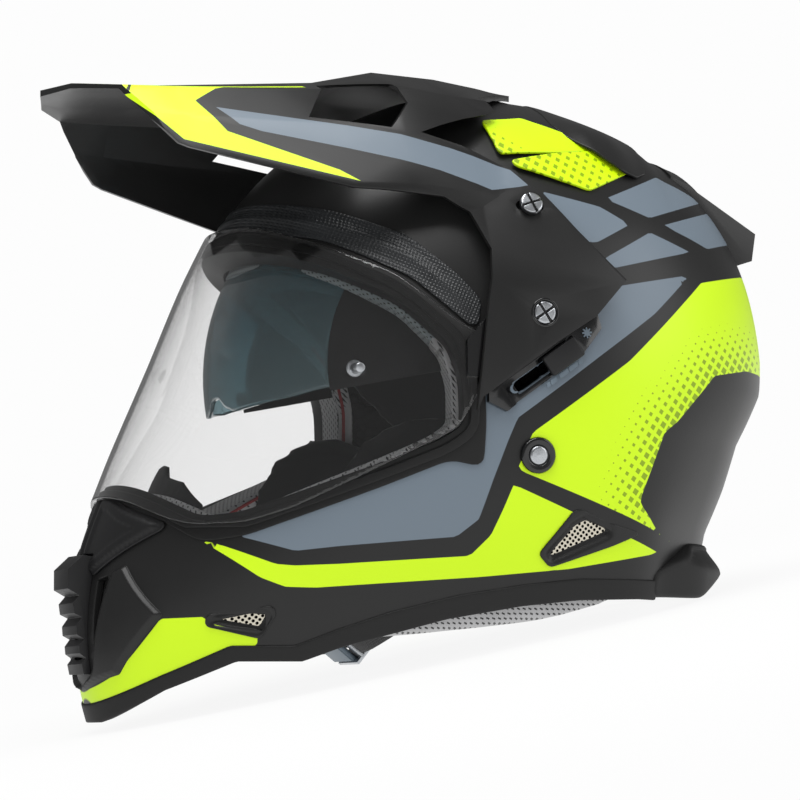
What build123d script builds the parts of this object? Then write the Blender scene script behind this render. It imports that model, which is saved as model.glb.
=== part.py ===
from build123d import *
import math
import os
os.makedirs("parts", exist_ok=True)

# Lengths are in millimetres. The helmet is drawn as it is worn: +X is the wearer's
# left, -Y the front and +Z up, measured from a point on the centre plane near the ears.
SHELL_LENGTH = 357.5      # chin bar to the back of the head
SHELL_WIDTH = 252.0       # across the widest line
SHELL_HEIGHT = 320.0      # crown to the lowest point of the chin bar
SHELL_WALL = 4.0
STAND_TILT = 12.3         # nose-up turn, in degrees, in which it stands on chin and neck
# Layers over and under the outer surface of the shell
SEAT = 0.15               # gap between two fixed pieces that lie on each other
RUN = 0.4                 # gap between pieces that move past each other
FRAME_LIFT = 1.2
GASKET_LIFT = 2.6
SHIELD_LIFT = 3.0
SHIELD_WALL = 2.2
ARM_LIFT = 5.7
PEAK_WALL = 3.0
EPS_WALL = 29.7
LINER_WALL = 7.4
OVERRUN = 60.0            # how far a cutter reaches past what it cuts
# Sections of the outer surface: drop from the crown as a share of the shell's height,
# then reach forward, reach back and half width as shares of length and width.
SECTION_SHARES = [
    (0.0, 0.0, 0.0, 0.0),
    (0.0047, 0.053, 0.0755, 0.083),
    (0.0188, 0.108, 0.140, 0.159),
    (0.0781, 0.221, 0.2615, 0.296),
    (0.1719, 0.312, 0.357, 0.401),
    (0.2938, 0.375, 0.418, 0.468),
    (0.45, 0.435, 0.443, 0.499),
    (0.6188, 0.501, 0.434, 0.494),
    (0.7625, 0.547, 0.411, 0.464),
    (0.8875, 0.557, 0.389, 0.411),
    (1.0125, 0.534, 0.364, 0.341),
    (1.075, 0.506, 0.347, 0.302),
]
CROWN_SHARE = 0.4875      # crown above the origin, of the height
WIDEST_SHARE = 0.084      # widest line behind the origin, of the length
FRONT_POWER = 2.1         # roundness of the plan, 2 is an ellipse
REAR_POWER = 2.25
SECTION_POINTS = 12
# Side-view outlines: shares of SHELL_LENGTH and SHELL_HEIGHT, from the origin
EYEPORT_SHARES = [
    (-0.573, 0.206), (-0.269, 0.225), (-0.196, 0.194), (-0.101, 0.134), (-0.034, 0.062),
    (-0.017, 0.006), (-0.014, -0.069), (-0.045, -0.094), (-0.134, -0.134), (-0.302, -0.206),
    (-0.352, -0.212), (-0.386, -0.188), (-0.42, -0.159), (-0.456, -0.144), (-0.573, -0.144),
]
FRAME_SHARES = [
    (-0.573, 0.227), (-0.269, 0.245), (-0.185, 0.216), (-0.087, 0.155), (-0.014, 0.081),
    (0.006, 0.013), (0.008, -0.062), (0.006, -0.128), (-0.039, -0.117), (-0.131, -0.159),
    (-0.302, -0.233), (-0.352, -0.241), (-0.389, -0.209), (-0.422, -0.18), (-0.456, -0.161),
    (-0.573, -0.161),
]
NECK_SEAM_SHARES = [
    (-0.643, -0.5), (-0.462, -0.491), (-0.392, -0.447), (-0.31, -0.402), (-0.229, -0.402),
    (-0.173, -0.376), (-0.106, -0.35), (-0.017, -0.325), (0.078, -0.308), (0.157, -0.298),
    (0.28, -0.298), (0.643, -0.291),
]
NECK_LOW_SHARES = [
    (0.643, -0.316), (0.294, -0.323), (0.252, -0.323), (0.157, -0.326), (0.073, -0.336),
    (-0.031, -0.356), (-0.168, -0.398), (-0.218, -0.42), (-0.302, -0.42), (-0.386, -0.464),
    (-0.448, -0.512), (-0.643, -0.525),
]
SHIELD_SHARES = [
    (-0.573, 0.253), (-0.257, 0.25), (-0.207, 0.219), (-0.106, 0.163), (-0.028, 0.087),
    (0.006, 0.069), (0.006, 0.006), (-0.011, -0.028), (-0.031, -0.069), (-0.241, -0.191),
    (-0.299, -0.212), (-0.358, -0.216), (-0.389, -0.203), (-0.42, -0.177), (-0.456, -0.155),
    (-0.573, -0.155),
]
EAR_SHARES = [
    (-0.022, 0.006), (-0.022, 0.062), (0.034, 0.131), (0.056, 0.144), (0.106, 0.144),
    (0.117, 0.087), (0.056, 0.05), (0.006, 0.006),
]
PEAK_SHARES = [
    (-0.573, 0.475), (-0.573, 0.625), (0.252, 0.625), (0.252, 0.475), (0.159, 0.472),
    (0.073, 0.447), (-0.062, 0.388), (-0.006, 0.369), (0.07, 0.331), (0.084, 0.309),
    (0.101, 0.298), (0.205, 0.16), (0.16, 0.102), (0.106, 0.063), (-0.003, -0.025),
    (-0.011, -0.045), (-0.006, 0), (0.006, 0.123), (0.016, 0.202), (-0.006, 0.261),
    (-0.042, 0.284), (-0.123, 0.292), (-0.168, 0.294), (-0.38, 0.355), (-0.395, 0.362),
    (-0.452, 0.432),
]
PEAK_VENT_SHARES = [
    (-0.173, 0.475), (-0.213, 0.409), (-0.103, 0.394), (-0.067, 0.441), (-0.076, 0.475),
]
BEZEL_SHARES = [
    (0.01, -0.013), (0.169, 0.114), (0.176, 0.087), (0.146, 0.045), (0.055, -0.028),
    (0.036, -0.045), (0.01, -0.031),
]
BROW_SHARES = [
    (-0.35, 0.269), (-0.257, 0.3), (-0.168, 0.269), (-0.084, 0.225), (-0.022, 0.163),
    (0.006, 0.125), (0, 0.087), (-0.011, 0.087), (-0.084, 0.161), (-0.182, 0.222),
    (-0.269, 0.252), (-0.35, 0.244),
]
SCOOP_UPPER_SHARES = [
    (0.056, 0.419), (0.123, 0.434), (0.199, 0.4), (0.213, 0.381), (0.062, 0.359),
]
SCOOP_LOWER_SHARES = [
    (0.076, 0.347), (0.157, 0.367), (0.218, 0.378), (0.274, 0.353), (0.185, 0.308),
    (0.081, 0.339),
]
CHIN_VENT_SHARES = [
    (-0.341, -0.366), (-0.337, -0.352), (-0.269, -0.348), (-0.269, -0.378),
]
REAR_VENT_SHARES = [
    (0.095, -0.25), (0.108, -0.273), (0.21, -0.23), (0.193, -0.219), (0.143, -0.195),
]
TAIL_SHARES = [
    (0.285, 0.369), (0.291, 0.406), (0.408, 0.331), (0.501, 0.272), (0.495, 0.228),
    (0.47, 0.219), (0.392, 0.281),
]
CREST_SHARES = [
    (0.2, 0.25), (0.2, 0.6), (0.599, 0.6), (0.599, 0.25),
]
SPOILER_PLAN_SHARES = [
    (0.213, 0.183), (0.235, 0.198), (0.299, 0.238), (0.406, 0.198), (0.526, 0.167), (0.559, 0),
]
LIP_SHARES = [
    (0.283, -0.297), (0.347, -0.263), (0.42, -0.247), (0.506, -0.241), (0.515, -0.263),
    (0.492, -0.275), (0.42, -0.291), (0.347, -0.309), (0.294, -0.327),
]
# Front-view outlines: half the shape, shares of SHELL_WIDTH and SHELL_HEIGHT
CHIN_COVER_SHARES = [
    (0, -0.164), (0.063, -0.169), (0.119, -0.186), (0.23, -0.212), (0.226, -0.222),
    (0.071, -0.287), (0.063, -0.284), (0.063, -0.255), (0, -0.255),
]
CHIN_PANEL_SHARES = [
    (0.135, -0.284), (0.163, -0.275), (0.234, -0.352), (0.139, -0.441), (0.016, -0.466),
    (0.016, -0.456), (0.062, -0.442), (0.079, -0.428),
]
# Head side
EPS_LIFT = -(SHELL_WALL + SEAT)
EPS_INNER = EPS_LIFT - EPS_WALL
LINER_LIFT = EPS_INNER - SEAT
CHIN_EPS_WALL = 15.0
EPS_EDGE_RISE = 12.0
SPLIT_Y = -55.0
NECK_SHARES = [
    (-0.168, -0.388), (-0.062, -0.378), (0.039, -0.366), (0.145, -0.352), (0.213, -0.331),
    (0.255, -0.317), (0.448, -0.303), (0.448, -0.194), (0.112, -0.219), (-0.056, -0.256),
    (-0.168, -0.3),
]
LINER_SHARES = [
    (-0.252, 0.181), (-0.168, 0.5), (0.168, 0.5), (0.476, 0.312), (0.476, -0.156),
    (0.308, -0.194), (0.179, -0.138), (0.056, -0.025), (-0.034, 0.069), (-0.117, 0.153),
]
BREATH_SHARES = [
    (0, -0.113), (0.028, -0.116), (0.056, -0.134), (0.119, -0.144), (0.187, -0.181),
    (0.198, -0.244), (0, -0.25),
]
# Straps and hardware
STRAP_WIDTH = 24.0
STRAP_WALL = 1.8
RIVET_Y = 29.8
RIVET_Z = -35.2
RIVET_RADIUS = 4.2
WASHER_RADIUS = 8.5
WASHER_LIFT = 1.6
STRAP_LEAN = 38.7
STRAP_LOW = -111.0
STRAP_END_X = 22.0
# Buckle under the chin
BUCKLE_FRONT = 2.0
BUCKLE_REAR = 38.0
BUCKLE_HALF = 14.3
BUCKLE_WALL = 1.5
BUCKLE_LOW = -117.5
BUCKLE_PIN_RADIUS = 1.6
TONGUE_LOW = STRAP_LOW + STRAP_WALL / 2 + SEAT
TONGUE_WALL = 2.0
TONGUE_HALF = 10.0
TONGUE_REAR = 36.0
BUCKLE_ROOF = TONGUE_LOW + TONGUE_WALL + SEAT
TOOTH_COUNT = 10
TOOTH_PITCH = 3.0
TOOTH_HEIGHT = 1.0
LEVER_HINGE_X = 25.0
LEVER_HINGE_Z = -115.2
# Shield and peak hinge line
HINGE_Y = 30.6
HINGE_Z = 33.8
EAR_X = SHELL_WIDTH / 2 + 1.9
EAR_WALL = 3.0
HUB_RADIUS = 9.0
HUB_FLANGE_RADIUS = 15.0
HUB_BORE = 3.0
PIVOT_PLAY = 0.06
ARM_X = EAR_X + EAR_WALL + RUN
ARM_PAD_LOW = -40.0
ARM_PAD_BEND = 50.0
ARM_PAD_TOP_X = 114.0
ARM_PAD_TOP_Z = 92.0
ARM_PAD_REACH = 60.0
SCREW_HEAD_RADIUS = 5.5
SCREW_HEAD_HEIGHT = 2.2
SCREW_RECESS_DEPTH = 1.9
SCREW_RECESS_PLAY = 1.1
TOP_SCREW_Y = 28.7
TOP_SCREW_Z = 84.2
TOP_SCREW_RADIUS = 5.6
TOP_SHANK_RADIUS = 2.5
TOP_SPACER_RADIUS = 7.0
PEAK_TILT_SLOT = 8.5
# Sun visor: a slice of an oval of revolution about its own hinge line
VISOR_Y = 14.0
VISOR_Z = 12.0
VISOR_REACH = 113.0
VISOR_HALF = 93.0
VISOR_POWER = 2.6
VISOR_WALL = 2.0
VISOR_POCKET = 7.0
VISOR_LOW = 191.0         # degrees round the hinge line from the back over the crown
VISOR_HIGH = 147.0
VISOR_LIFT_ANGLE = 45.0
VISOR_LENS_HALF = 78.0
VISOR_STEPS = 12
VISOR_HUB_RADIUS = 8.0
VISOR_HUB_INNER = 91.9
VISOR_HUB_OUTER = 97.2
VISOR_PIN_RADIUS = 2.5
VISOR_LOWER_SHARES = [
    (0, -0.006), (0.028, -0.008), (0.056, -0.022), (0.103, -0.031), (0.179, -0.025),
    (0.254, -0.016), (0.333, 0.006),
]
# Slider on the left side
TRACK_ANGLE = 35.0
KNOB_Y = 41.0
KNOB_Z = 13.0
SLIDER_TRAVEL = 24.0
KNOB_LENGTH = 20.0
KNOB_WIDTH = 11.0
KNOB_INNER = 129.3
KNOB_HEIGHT = 3.6
STEM_LENGTH = 8.0
STEM_WIDTH = 6.0
BEZEL_LIFT = 4.0
BEZEL_FLOOR = 1.4
CARRIAGE_X = 98.0
CARRIAGE_WALL = 3.0
LEVER_LENGTH = 29.0
LEVER_WIDTH = 11.0
LEVER_INNER = 94.4
LEVER_PIN_RADIUS = 2.0
LEVER_SLOT_PLAY = 0.5
CHIN_PANEL_BACK = 100.0
CHIN_PANEL_LIFT = 2.0
MOUTH_SHARES = [
    (0, -0.275), (0.052, -0.275), (0.048, -0.431), (0, -0.431),
]
SLOT_SHARES = [
    (0.083, -0.294), (0.127, -0.286), (0.079, -0.406),
]
PIN_PLATE_X = 100.8
PIN_PLATE_WALL = 2.5
PIN_PLATE_RADIUS = 8.0
LINER_CHANNELS = (-34.0, 0.0, 34.0)
LINER_CHANNEL_WIDTH = 7.0
LINER_CHANNEL_LENGTH = 110.0
CHEEK_CENTRE = (93.0, -20.0, -54.0)
CHEEK_RADII = (34.0, 50.0, 42.0)
FLANGE_DEPTH = 12.0
FLANGE_WALL = 2.4
GASKET_IN = 1.0
GASKET_OUT = 4.5
TRIM_DEPTH = 6.0
TRIM_LIFT = 1.0
LIP_LIFT = 12.0
LIP_Y = 101.2
EAR_RADIUS = 14.5
TAB_SHARES = [
    (0, -0.138), (0.036, -0.138), (0.044, -0.153), (0, -0.153),
]
TAB_LIFT = 4.0
PIN_Y = -57.8
PIN_Z = 6.2
PIN_HOLE = 2.5
# Peak sections: station along the length, then half-width and height of each corner
PEAK_STATION_SHARES = [
    -0.601, -0.386, -0.168, -0.084, 0.008, 0.084, 0.21,
]
PEAK_CORNER_SHARES = [
[
    (0, 0.472), (0.119, 0.47), (0.23, 0.459), (0.286, 0.416), (0.333, 0.353),
],
[
    (0, 0.475), (0.139, 0.473), (0.262, 0.458), (0.317, 0.409), (0.357, 0.35),
],
[
    (0, 0.492), (0.159, 0.486), (0.294, 0.461), (0.389, 0.394), (0.448, 0.3),
],
[
    (0, 0.516), (0.179, 0.505), (0.306, 0.469), (0.393, 0.406), (0.46, 0.303),
],
[
    (0, 0.517), (0.179, 0.505), (0.298, 0.466), (0.393, 0.4), (0.464, 0.291),
],
[
    (0, 0.508), (0.159, 0.5), (0.27, 0.466), (0.373, 0.388), (0.444, 0.287),
],
[
    (0, 0.487), (0.119, 0.48), (0.218, 0.45), (0.317, 0.375), (0.397, 0.275),
],
]
PEAK_PLAN_SHARES = [
    (0, -0.531), (0.159, -0.503), (0.262, -0.453), (0.365, -0.392), (0.595, -0.336),
    (0.595, 0.308), (0.262, 0.056), (0.119, 0.162), (0, 0.162),
]
SPOILER_LIFT = 3.2
SCOOP_LIFT = 3.2
CHIN_COVER_LIFT = 3.4
MOUTH_PROFILE_SHARES = [
    (-0.442, -0.263), (-0.476, -0.256), (-0.497, -0.278), (-0.497, -0.309), (-0.481, -0.319),
    (-0.49, -0.331), (-0.488, -0.347), (-0.477, -0.353), (-0.485, -0.366), (-0.484, -0.38),
    (-0.474, -0.386), (-0.481, -0.397), (-0.48, -0.409), (-0.471, -0.416), (-0.477, -0.425),
    (-0.474, -0.441), (-0.442, -0.441),
]
FACET_ANGLE = 0.2
CHIN_REST_SHARES = (-0.448, -0.512)
REAR_REST_SHARES = (0.294, -0.323)


def spot(share_y, share_z):
    """A point of the side view, from its shares of length and height."""
    return (share_y * SHELL_LENGTH, share_z * SHELL_HEIGHT)


def section_value(column, place):
    """One column of the section table at a place between rows, by a smooth cubic."""
    last = len(SECTION_SHARES) - 1
    row = min(int(place), last - 1)
    part = place - row

    def value(index):
        if index < 0:
            mirrored = SECTION_SHARES[-index][column]
            return mirrored if column == 0 else -mirrored
        return SECTION_SHARES[min(index, last)][column]

    before, start, end, after = (value(row + step) for step in (-1, 0, 1, 2))
    return start + 0.5 * part * (
        end - before
        + part * (2 * before - 5 * start + 4 * end - after
                  + part * (3 * (start - end) + after - before))
    )


def section_point(place, turn):
    """The outer surface at a place down the table and a turn about the vertical."""
    drop, front, rear, half = (section_value(column, place) for column in range(4))
    across, along = math.sin(turn), math.cos(turn)
    power = REAR_POWER if along > 0 else FRONT_POWER
    reach = (rear if along > 0 else front) * SHELL_LENGTH
    x = half * SHELL_WIDTH * math.copysign(abs(across) ** (2 / power), across)
    y = WIDEST_SHARE * SHELL_LENGTH + reach * math.copysign(abs(along) ** (2 / power), along)
    return Vector(x, y, (CROWN_SHARE - drop) * SHELL_HEIGHT)


def section_normal(place, turn):
    """The outward direction of the outer surface, from two short steps along it."""
    step = 0.02
    last = len(SECTION_SHARES) - 1
    low = max(place - step, step / 20)
    high = min(place + step, last)
    down = section_point(high, turn) - section_point(low, turn)
    round_ = section_point(place, turn + step) - section_point(place, turn - step)
    return round_.cross(down).normalized()


def form(lift):
    """The whole closed body whose surface lies a lift outside the shell's surface."""
    last = len(SECTION_SHARES) - 1
    crown = CROWN_SHARE * SHELL_HEIGHT
    sections = [Vertex(0, WIDEST_SHARE * SHELL_LENGTH, crown + lift)]
    for row in range(1, last + 1):
        ring = []
        for step in range(SECTION_POINTS):
            turn = 2 * math.pi * step / SECTION_POINTS
            out = section_normal(row, turn)
            if row == last:
                out = Vector(out.X, out.Y, 0).normalized()
            ring.append(section_point(row, turn) + out * lift)
        knots = [step / SECTION_POINTS for step in range(SECTION_POINTS + 1)]
        sections.append(Wire([Edge.make_spline(ring, periodic=True, parameters=knots)]))
    return Solid.make_loft(sections)


FORMS = {}


def body(lift):
    """The form at a lift, made once."""
    key = round(lift, 3)
    if key not in FORMS:
        FORMS[key] = form(lift)
    return FORMS[key]


def layer(inner, outer):
    """The skin between two lifts over the shell's surface."""
    return body(outer) - body(inner)


def side_face(points):
    """A flat face in the centre plane, from points of the side view."""
    return make_face(Polyline(*[(0, y, z) for y, z in points], close=True))


def side_prism(points, inner=None, outer=None):
    """A side-view outline carried across the helmet, or from X = inner to X = outer."""
    reach = SHELL_WIDTH / 2 + OVERRUN
    inner = -reach if inner is None else inner
    outer = reach if outer is None else outer
    face = side_face(points)
    return Pos(inner, 0, 0) * extrude(face, outer - inner, dir=(1, 0, 0))


def front_prism(points, back=0.0):
    """A front-view outline, mirrored over the centre plane, carried forward from back."""
    whole = list(points) + [(-x, z) for x, z in reversed(points) if x > 0]
    face = make_face(Polyline(*[(x, back, z) for x, z in whole], close=True))
    return extrude(face, SHELL_LENGTH, dir=(0, -1, 0))


def side_x(y, z, lift=0.0):
    """Half width of the outer surface at a point of the side view, plus a lift."""
    last = len(SECTION_SHARES) - 1
    low, high = 0.0, float(last)
    for _ in range(40):
        middle = 0.5 * (low + high)
        if (CROWN_SHARE - section_value(0, middle)) * SHELL_HEIGHT > z:
            low = middle
        else:
            high = middle
    drop, front, rear, half = (section_value(column, low) for column in range(4))
    along = y - WIDEST_SHARE * SHELL_LENGTH
    power = REAR_POWER if along > 0 else FRONT_POWER
    reach = (rear if along > 0 else front) * SHELL_LENGTH
    return half * SHELL_WIDTH * (1 - (abs(along) / reach) ** power) ** (1 / power) + lift


def outline(shares):
    """Side-view points in millimetres."""
    return [spot(y, z) for y, z in shares]


def front_outline(shares):
    """Front-view points in millimetres."""
    return [(x * SHELL_WIDTH, z * SHELL_HEIGHT) for x, z in shares]


def closed_above(shares):
    """A side-view line closed far above, to keep what lies over it."""
    line = outline(shares)
    top = SHELL_HEIGHT
    first, last = line[0], line[-1]
    return line + [(last[0], top), (first[0], top)]


def rod(x0, x1, y, z, radius):
    """A round bar along X."""
    bar = Cylinder(radius, abs(x1 - x0))
    return Pos((x0 + x1) / 2, y, z) * Rot(0, 90, 0) * bar


def both(piece):
    """A piece of the left side with its mirror image on the right."""
    return [piece, mirror(piece, Plane.YZ)]


def above_seam(rise=0.0):
    """Everything over the neck seam, lifted by a rise."""
    return Pos(0, 0, rise) * side_prism(closed_above(NECK_SEAM_SHARES))


def eyeport(grow=0.0):
    """The cutter of the eye opening, grown all round."""
    face = side_face(outline(EYEPORT_SHARES))
    if grow:
        face = offset(face, grow, kind=Kind.INTERSECTION)
    reach = SHELL_WIDTH / 2 + OVERRUN
    return Pos(-reach, 0, 0) * extrude(face, 2 * reach, dir=(1, 0, 0))


def surface_frame(y, z):
    """The place and the outward direction of the left surface at a side-view point."""
    step = 1.0
    x = side_x(y, z)
    over = Vector(side_x(y, z + step) - x, 0, step)
    back = Vector(side_x(y + step, z) - x, step, 0)
    return Vector(x, y, z), back.cross(over).normalized()


def vent_cutters():
    """The mesh windows of the chin bar and of the rear, on both sides."""
    cutters = []
    for shares in (CHIN_VENT_SHARES, REAR_VENT_SHARES):
        window = side_prism(outline(shares), SHELL_WIDTH / 4)
        cutters += both(window)
    return cutters


def track(x0, x1, along0, along1, across0, across1):
    """A block in the slider's own directions: along its travel and across it."""
    block = Box(x1 - x0, along1 - along0, across1 - across0)
    block = Pos((x0 + x1) / 2, (along0 + along1) / 2, (across0 + across1) / 2) * block
    return Pos(0, KNOB_Y, KNOB_Z) * Rot(TRACK_ANGLE, 0, 0) * block


def stem_slot(x0, x1, play):
    """The straight slot that the slider's stem runs in."""
    half = STEM_LENGTH / 2 + play
    return track(x0, x1, -SLIDER_TRAVEL - half, half, -STEM_WIDTH / 2 - play, STEM_WIDTH / 2 + play)


def chin_panels(lift):
    """The raised panel on each side of the chin bar, as blocks up to a lift."""
    panels = [body(lift) & panel for panel in both(front_side(CHIN_PANEL_SHARES))]
    return panels[0] + panels[1]


def outer_shell():
    skin = layer(-SHELL_WALL, 0) & above_seam()
    skin -= eyeport()
    skin += chin_panels(CHIN_PANEL_LIFT) - body(-SHELL_WALL / 2)
    for cutter in vent_cutters():
        skin -= cutter
    skin -= front_prism(front_outline(MOUTH_SHARES), -CHIN_PANEL_BACK)
    for side in both(front_side(SLOT_SHARES)):
        skin -= side
    skin -= stem_slot(SHELL_WIDTH / 4, SHELL_WIDTH, RUN)
    for hole in both(rod(SHELL_WIDTH / 4, SHELL_WIDTH, HINGE_Y, HINGE_Z, HUB_BORE)):
        skin -= hole
    for hole in both(rod(SHELL_WIDTH / 4, SHELL_WIDTH, RIVET_Y, RIVET_Z, RIVET_RADIUS)):
        skin -= hole
    for hole in both(top_screw_bar(TOP_SHANK_RADIUS, -2 * SHELL_WALL, SHELL_WALL)):
        skin -= hole
    return skin


def front_side(shares):
    """A front-view outline that lies on the left only, carried forward."""
    points = front_outline(shares)
    face = make_face(Polyline(*[(x, -CHIN_PANEL_BACK, z) for x, z in points], close=True))
    return extrude(face, SHELL_LENGTH, dir=(0, -1, 0))


def top_screw_bar(radius, start, end):
    """A round bar along the surface's normal at the upper peak screw, left side."""
    place, out = surface_frame(TOP_SCREW_Y, TOP_SCREW_Z)
    plane = Plane(origin=place + out * start, z_dir=out, x_dir=(0, 1, 0) if abs(out.Y) < 0.5 else (0, 0, 1))
    return extrude(plane * Circle(radius), end - start)


def front_block(y, z_top):
    """Everything in front of a line and under a height."""
    block = Box(2 * SHELL_WIDTH, SHELL_LENGTH, SHELL_LENGTH)
    return Pos(0, y - SHELL_LENGTH / 2, z_top - SHELL_LENGTH / 2) * block


def visor_curve(shrink):
    """Half section of the visor's oval, from its middle to its hinge line."""
    half, reach = VISOR_HALF - shrink, VISOR_REACH - shrink
    points = []
    for step in range(VISOR_STEPS + 1):
        part = 0.5 * math.pi * step / VISOR_STEPS
        x = half * math.sin(part) ** (2 / VISOR_POWER)
        r = reach * math.cos(part) ** (2 / VISOR_POWER) if step < VISOR_STEPS else 0.0
        points.append((x, r))
    return points


def visor_band(outer_shrink, inner_shrink, angle0, angle1):
    """The band between two ovals, swept from one angle to another about the hinge line."""
    halves = []
    for shrink in (outer_shrink, inner_shrink):
        left = visor_curve(shrink)
        right = [(-x, r) for x, r in left[1:]][::-1]
        halves.append([Vector(x, r, 0) for x, r in right + left])
    solids = []
    for points in halves:
        curve = Spline(*points)
        face = make_face([curve, Line(points[-1], points[0])])
        start = Pos(0, VISOR_Y, VISOR_Z) * Rot(angle0, 0, 0) * face
        axis = Axis((0, VISOR_Y, VISOR_Z), (1, 0, 0))
        solids.append(revolve(start, axis, angle1 - angle0))
    return solids[0] - solids[1]


def visor_pocket():
    """The room that the visor needs from lowered to raised."""
    play = (VISOR_POCKET - VISOR_WALL) / 2
    low = VISOR_HIGH - VISOR_LIFT_ANGLE - 3
    return visor_band(-play, VISOR_WALL + play, low, VISOR_LOW + 3)


def ribbon_face(path, wall):
    """A strip of even thickness along a path in the XZ plane."""
    rows = [[], []]
    for index, (x, z) in enumerate(path):
        runs = []
        for a, b in ((index - 1, index), (index, index + 1)):
            if a >= 0 and b < len(path):
                runs.append(Vector(path[b][0] - path[a][0], path[b][1] - path[a][1], 0).normalized())
        mean = sum(runs[1:], runs[0]).normalized()
        normal = Vector(-mean.Y, mean.X, 0)
        reach = wall / 2 / max(normal.dot(Vector(-runs[0].Y, runs[0].X, 0)), 0.5)
        for row, sign in zip(rows, (1, -1)):
            row.append((x + sign * reach * normal.X, 0, z + sign * reach * normal.Y))
    return make_face(Polyline(*rows[0], *rows[1][::-1], close=True))


def strap_blank(play=0.0):
    """The left chin strap from the rivet to the buckle, or the slot for it."""
    skin_x = SHELL_WIDTH / 2 - SHELL_WALL
    path = [(skin_x - 3.0, 9), (skin_x - 4.0, -14), (107, -60), (92, -84), (58, -105),
            (40, STRAP_LOW), (STRAP_END_X, STRAP_LOW)]
    face = ribbon_face(path, STRAP_WALL + 2 * play)
    solid = extrude(face, STRAP_WIDTH / 2 + play, dir=(0, 1, 0), both=True)
    return strap_place(solid)


def chin_strap():
    """The left strap, pierced for its rivet."""
    return strap_blank() - rod(0, SHELL_WIDTH, RIVET_Y, RIVET_Z, RIVET_RADIUS)


def strap_place(piece):
    """A piece drawn upright under the rivet, leaned to the strap's direction."""
    return Pos(0, RIVET_Y, RIVET_Z) * Rot(-STRAP_LEAN, 0, 0) * piece


def strap_block(x0, x1, half, z0, z1):
    """A block at the strap's lower end, across the strap's width."""
    return Pos((x0 + x1) / 2, 0, (z0 + z1) / 2) * Box(x1 - x0, 2 * half, z1 - z0)


def buckle_body():
    """The ratchet buckle's channel, which clamps the left strap between two bars."""
    roof = strap_block(BUCKLE_FRONT, BUCKLE_REAR, BUCKLE_HALF, BUCKLE_ROOF, BUCKLE_ROOF + BUCKLE_WALL)
    block = strap_block(BUCKLE_FRONT, BUCKLE_REAR - 4, BUCKLE_HALF, BUCKLE_LOW, BUCKLE_ROOF + BUCKLE_WALL)
    room = strap_block(BUCKLE_FRONT - 1, BUCKLE_REAR, BUCKLE_HALF - BUCKLE_WALL, BUCKLE_LOW - 1, BUCKLE_ROOF)
    channel = (block - room) + roof
    strap_low = STRAP_LOW - STRAP_WALL / 2 - SEAT
    strap_top = STRAP_LOW + STRAP_WALL / 2 + SEAT
    inside = BUCKLE_HALF - BUCKLE_WALL + 0.1
    channel += strap_block(BUCKLE_REAR - 10, BUCKLE_REAR - 4, inside, strap_top, BUCKLE_ROOF + 0.1)
    channel += strap_block(BUCKLE_REAR - 10, BUCKLE_REAR - 4, inside, strap_low - BUCKLE_WALL, strap_low)
    channel -= buckle_pin(BUCKLE_PIN_RADIUS + PIVOT_PLAY)
    return strap_place(channel)


def buckle_pin(radius):
    """A bar along the lever's hinge line."""
    return Pos(LEVER_HINGE_X, 0, LEVER_HINGE_Z) * Rot(90, 0, 0) * Cylinder(radius, 2 * BUCKLE_HALF)


def buckle_lever():
    """The release lever: a tab, a pawl under the teeth and a hinge pin in the channel."""
    half = BUCKLE_HALF - BUCKLE_WALL - RUN
    top = LEVER_HINGE_Z + 0.6
    plate = strap_block(BUCKLE_FRONT - 6, LEVER_HINGE_X + 1, half, top - 2.4, top)
    pawl = strap_block(BUCKLE_FRONT + 2, BUCKLE_FRONT + 5, half - 4, top - 0.1, TONGUE_LOW - TOOTH_HEIGHT - RUN)
    return strap_place(plate + pawl + buckle_pin(BUCKLE_PIN_RADIUS))


def buckle_tongue():
    """The toothed tongue on the right strap, which runs into the channel."""
    tongue = strap_block(-TONGUE_REAR, BUCKLE_REAR - 12, TONGUE_HALF, TONGUE_LOW, TONGUE_LOW + TONGUE_WALL)
    for index in range(TOOTH_COUNT):
        x = STRAP_END_X - 1 - index * TOOTH_PITCH
        tooth = make_face(Polyline((x, 0, TONGUE_LOW + 0.1), (x - TOOTH_PITCH + 0.3, 0, TONGUE_LOW + 0.1),
                                   (x - TOOTH_PITCH + 0.3, 0, TONGUE_LOW - TOOTH_HEIGHT), close=True))
        tongue += extrude(tooth, TONGUE_HALF - 2, dir=(0, 1, 0), both=True)
    return strap_place(tongue)


def pivot_bars(x0, x1, y, z, radius):
    return both(rod(x0, x1, y, z, radius))


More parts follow.
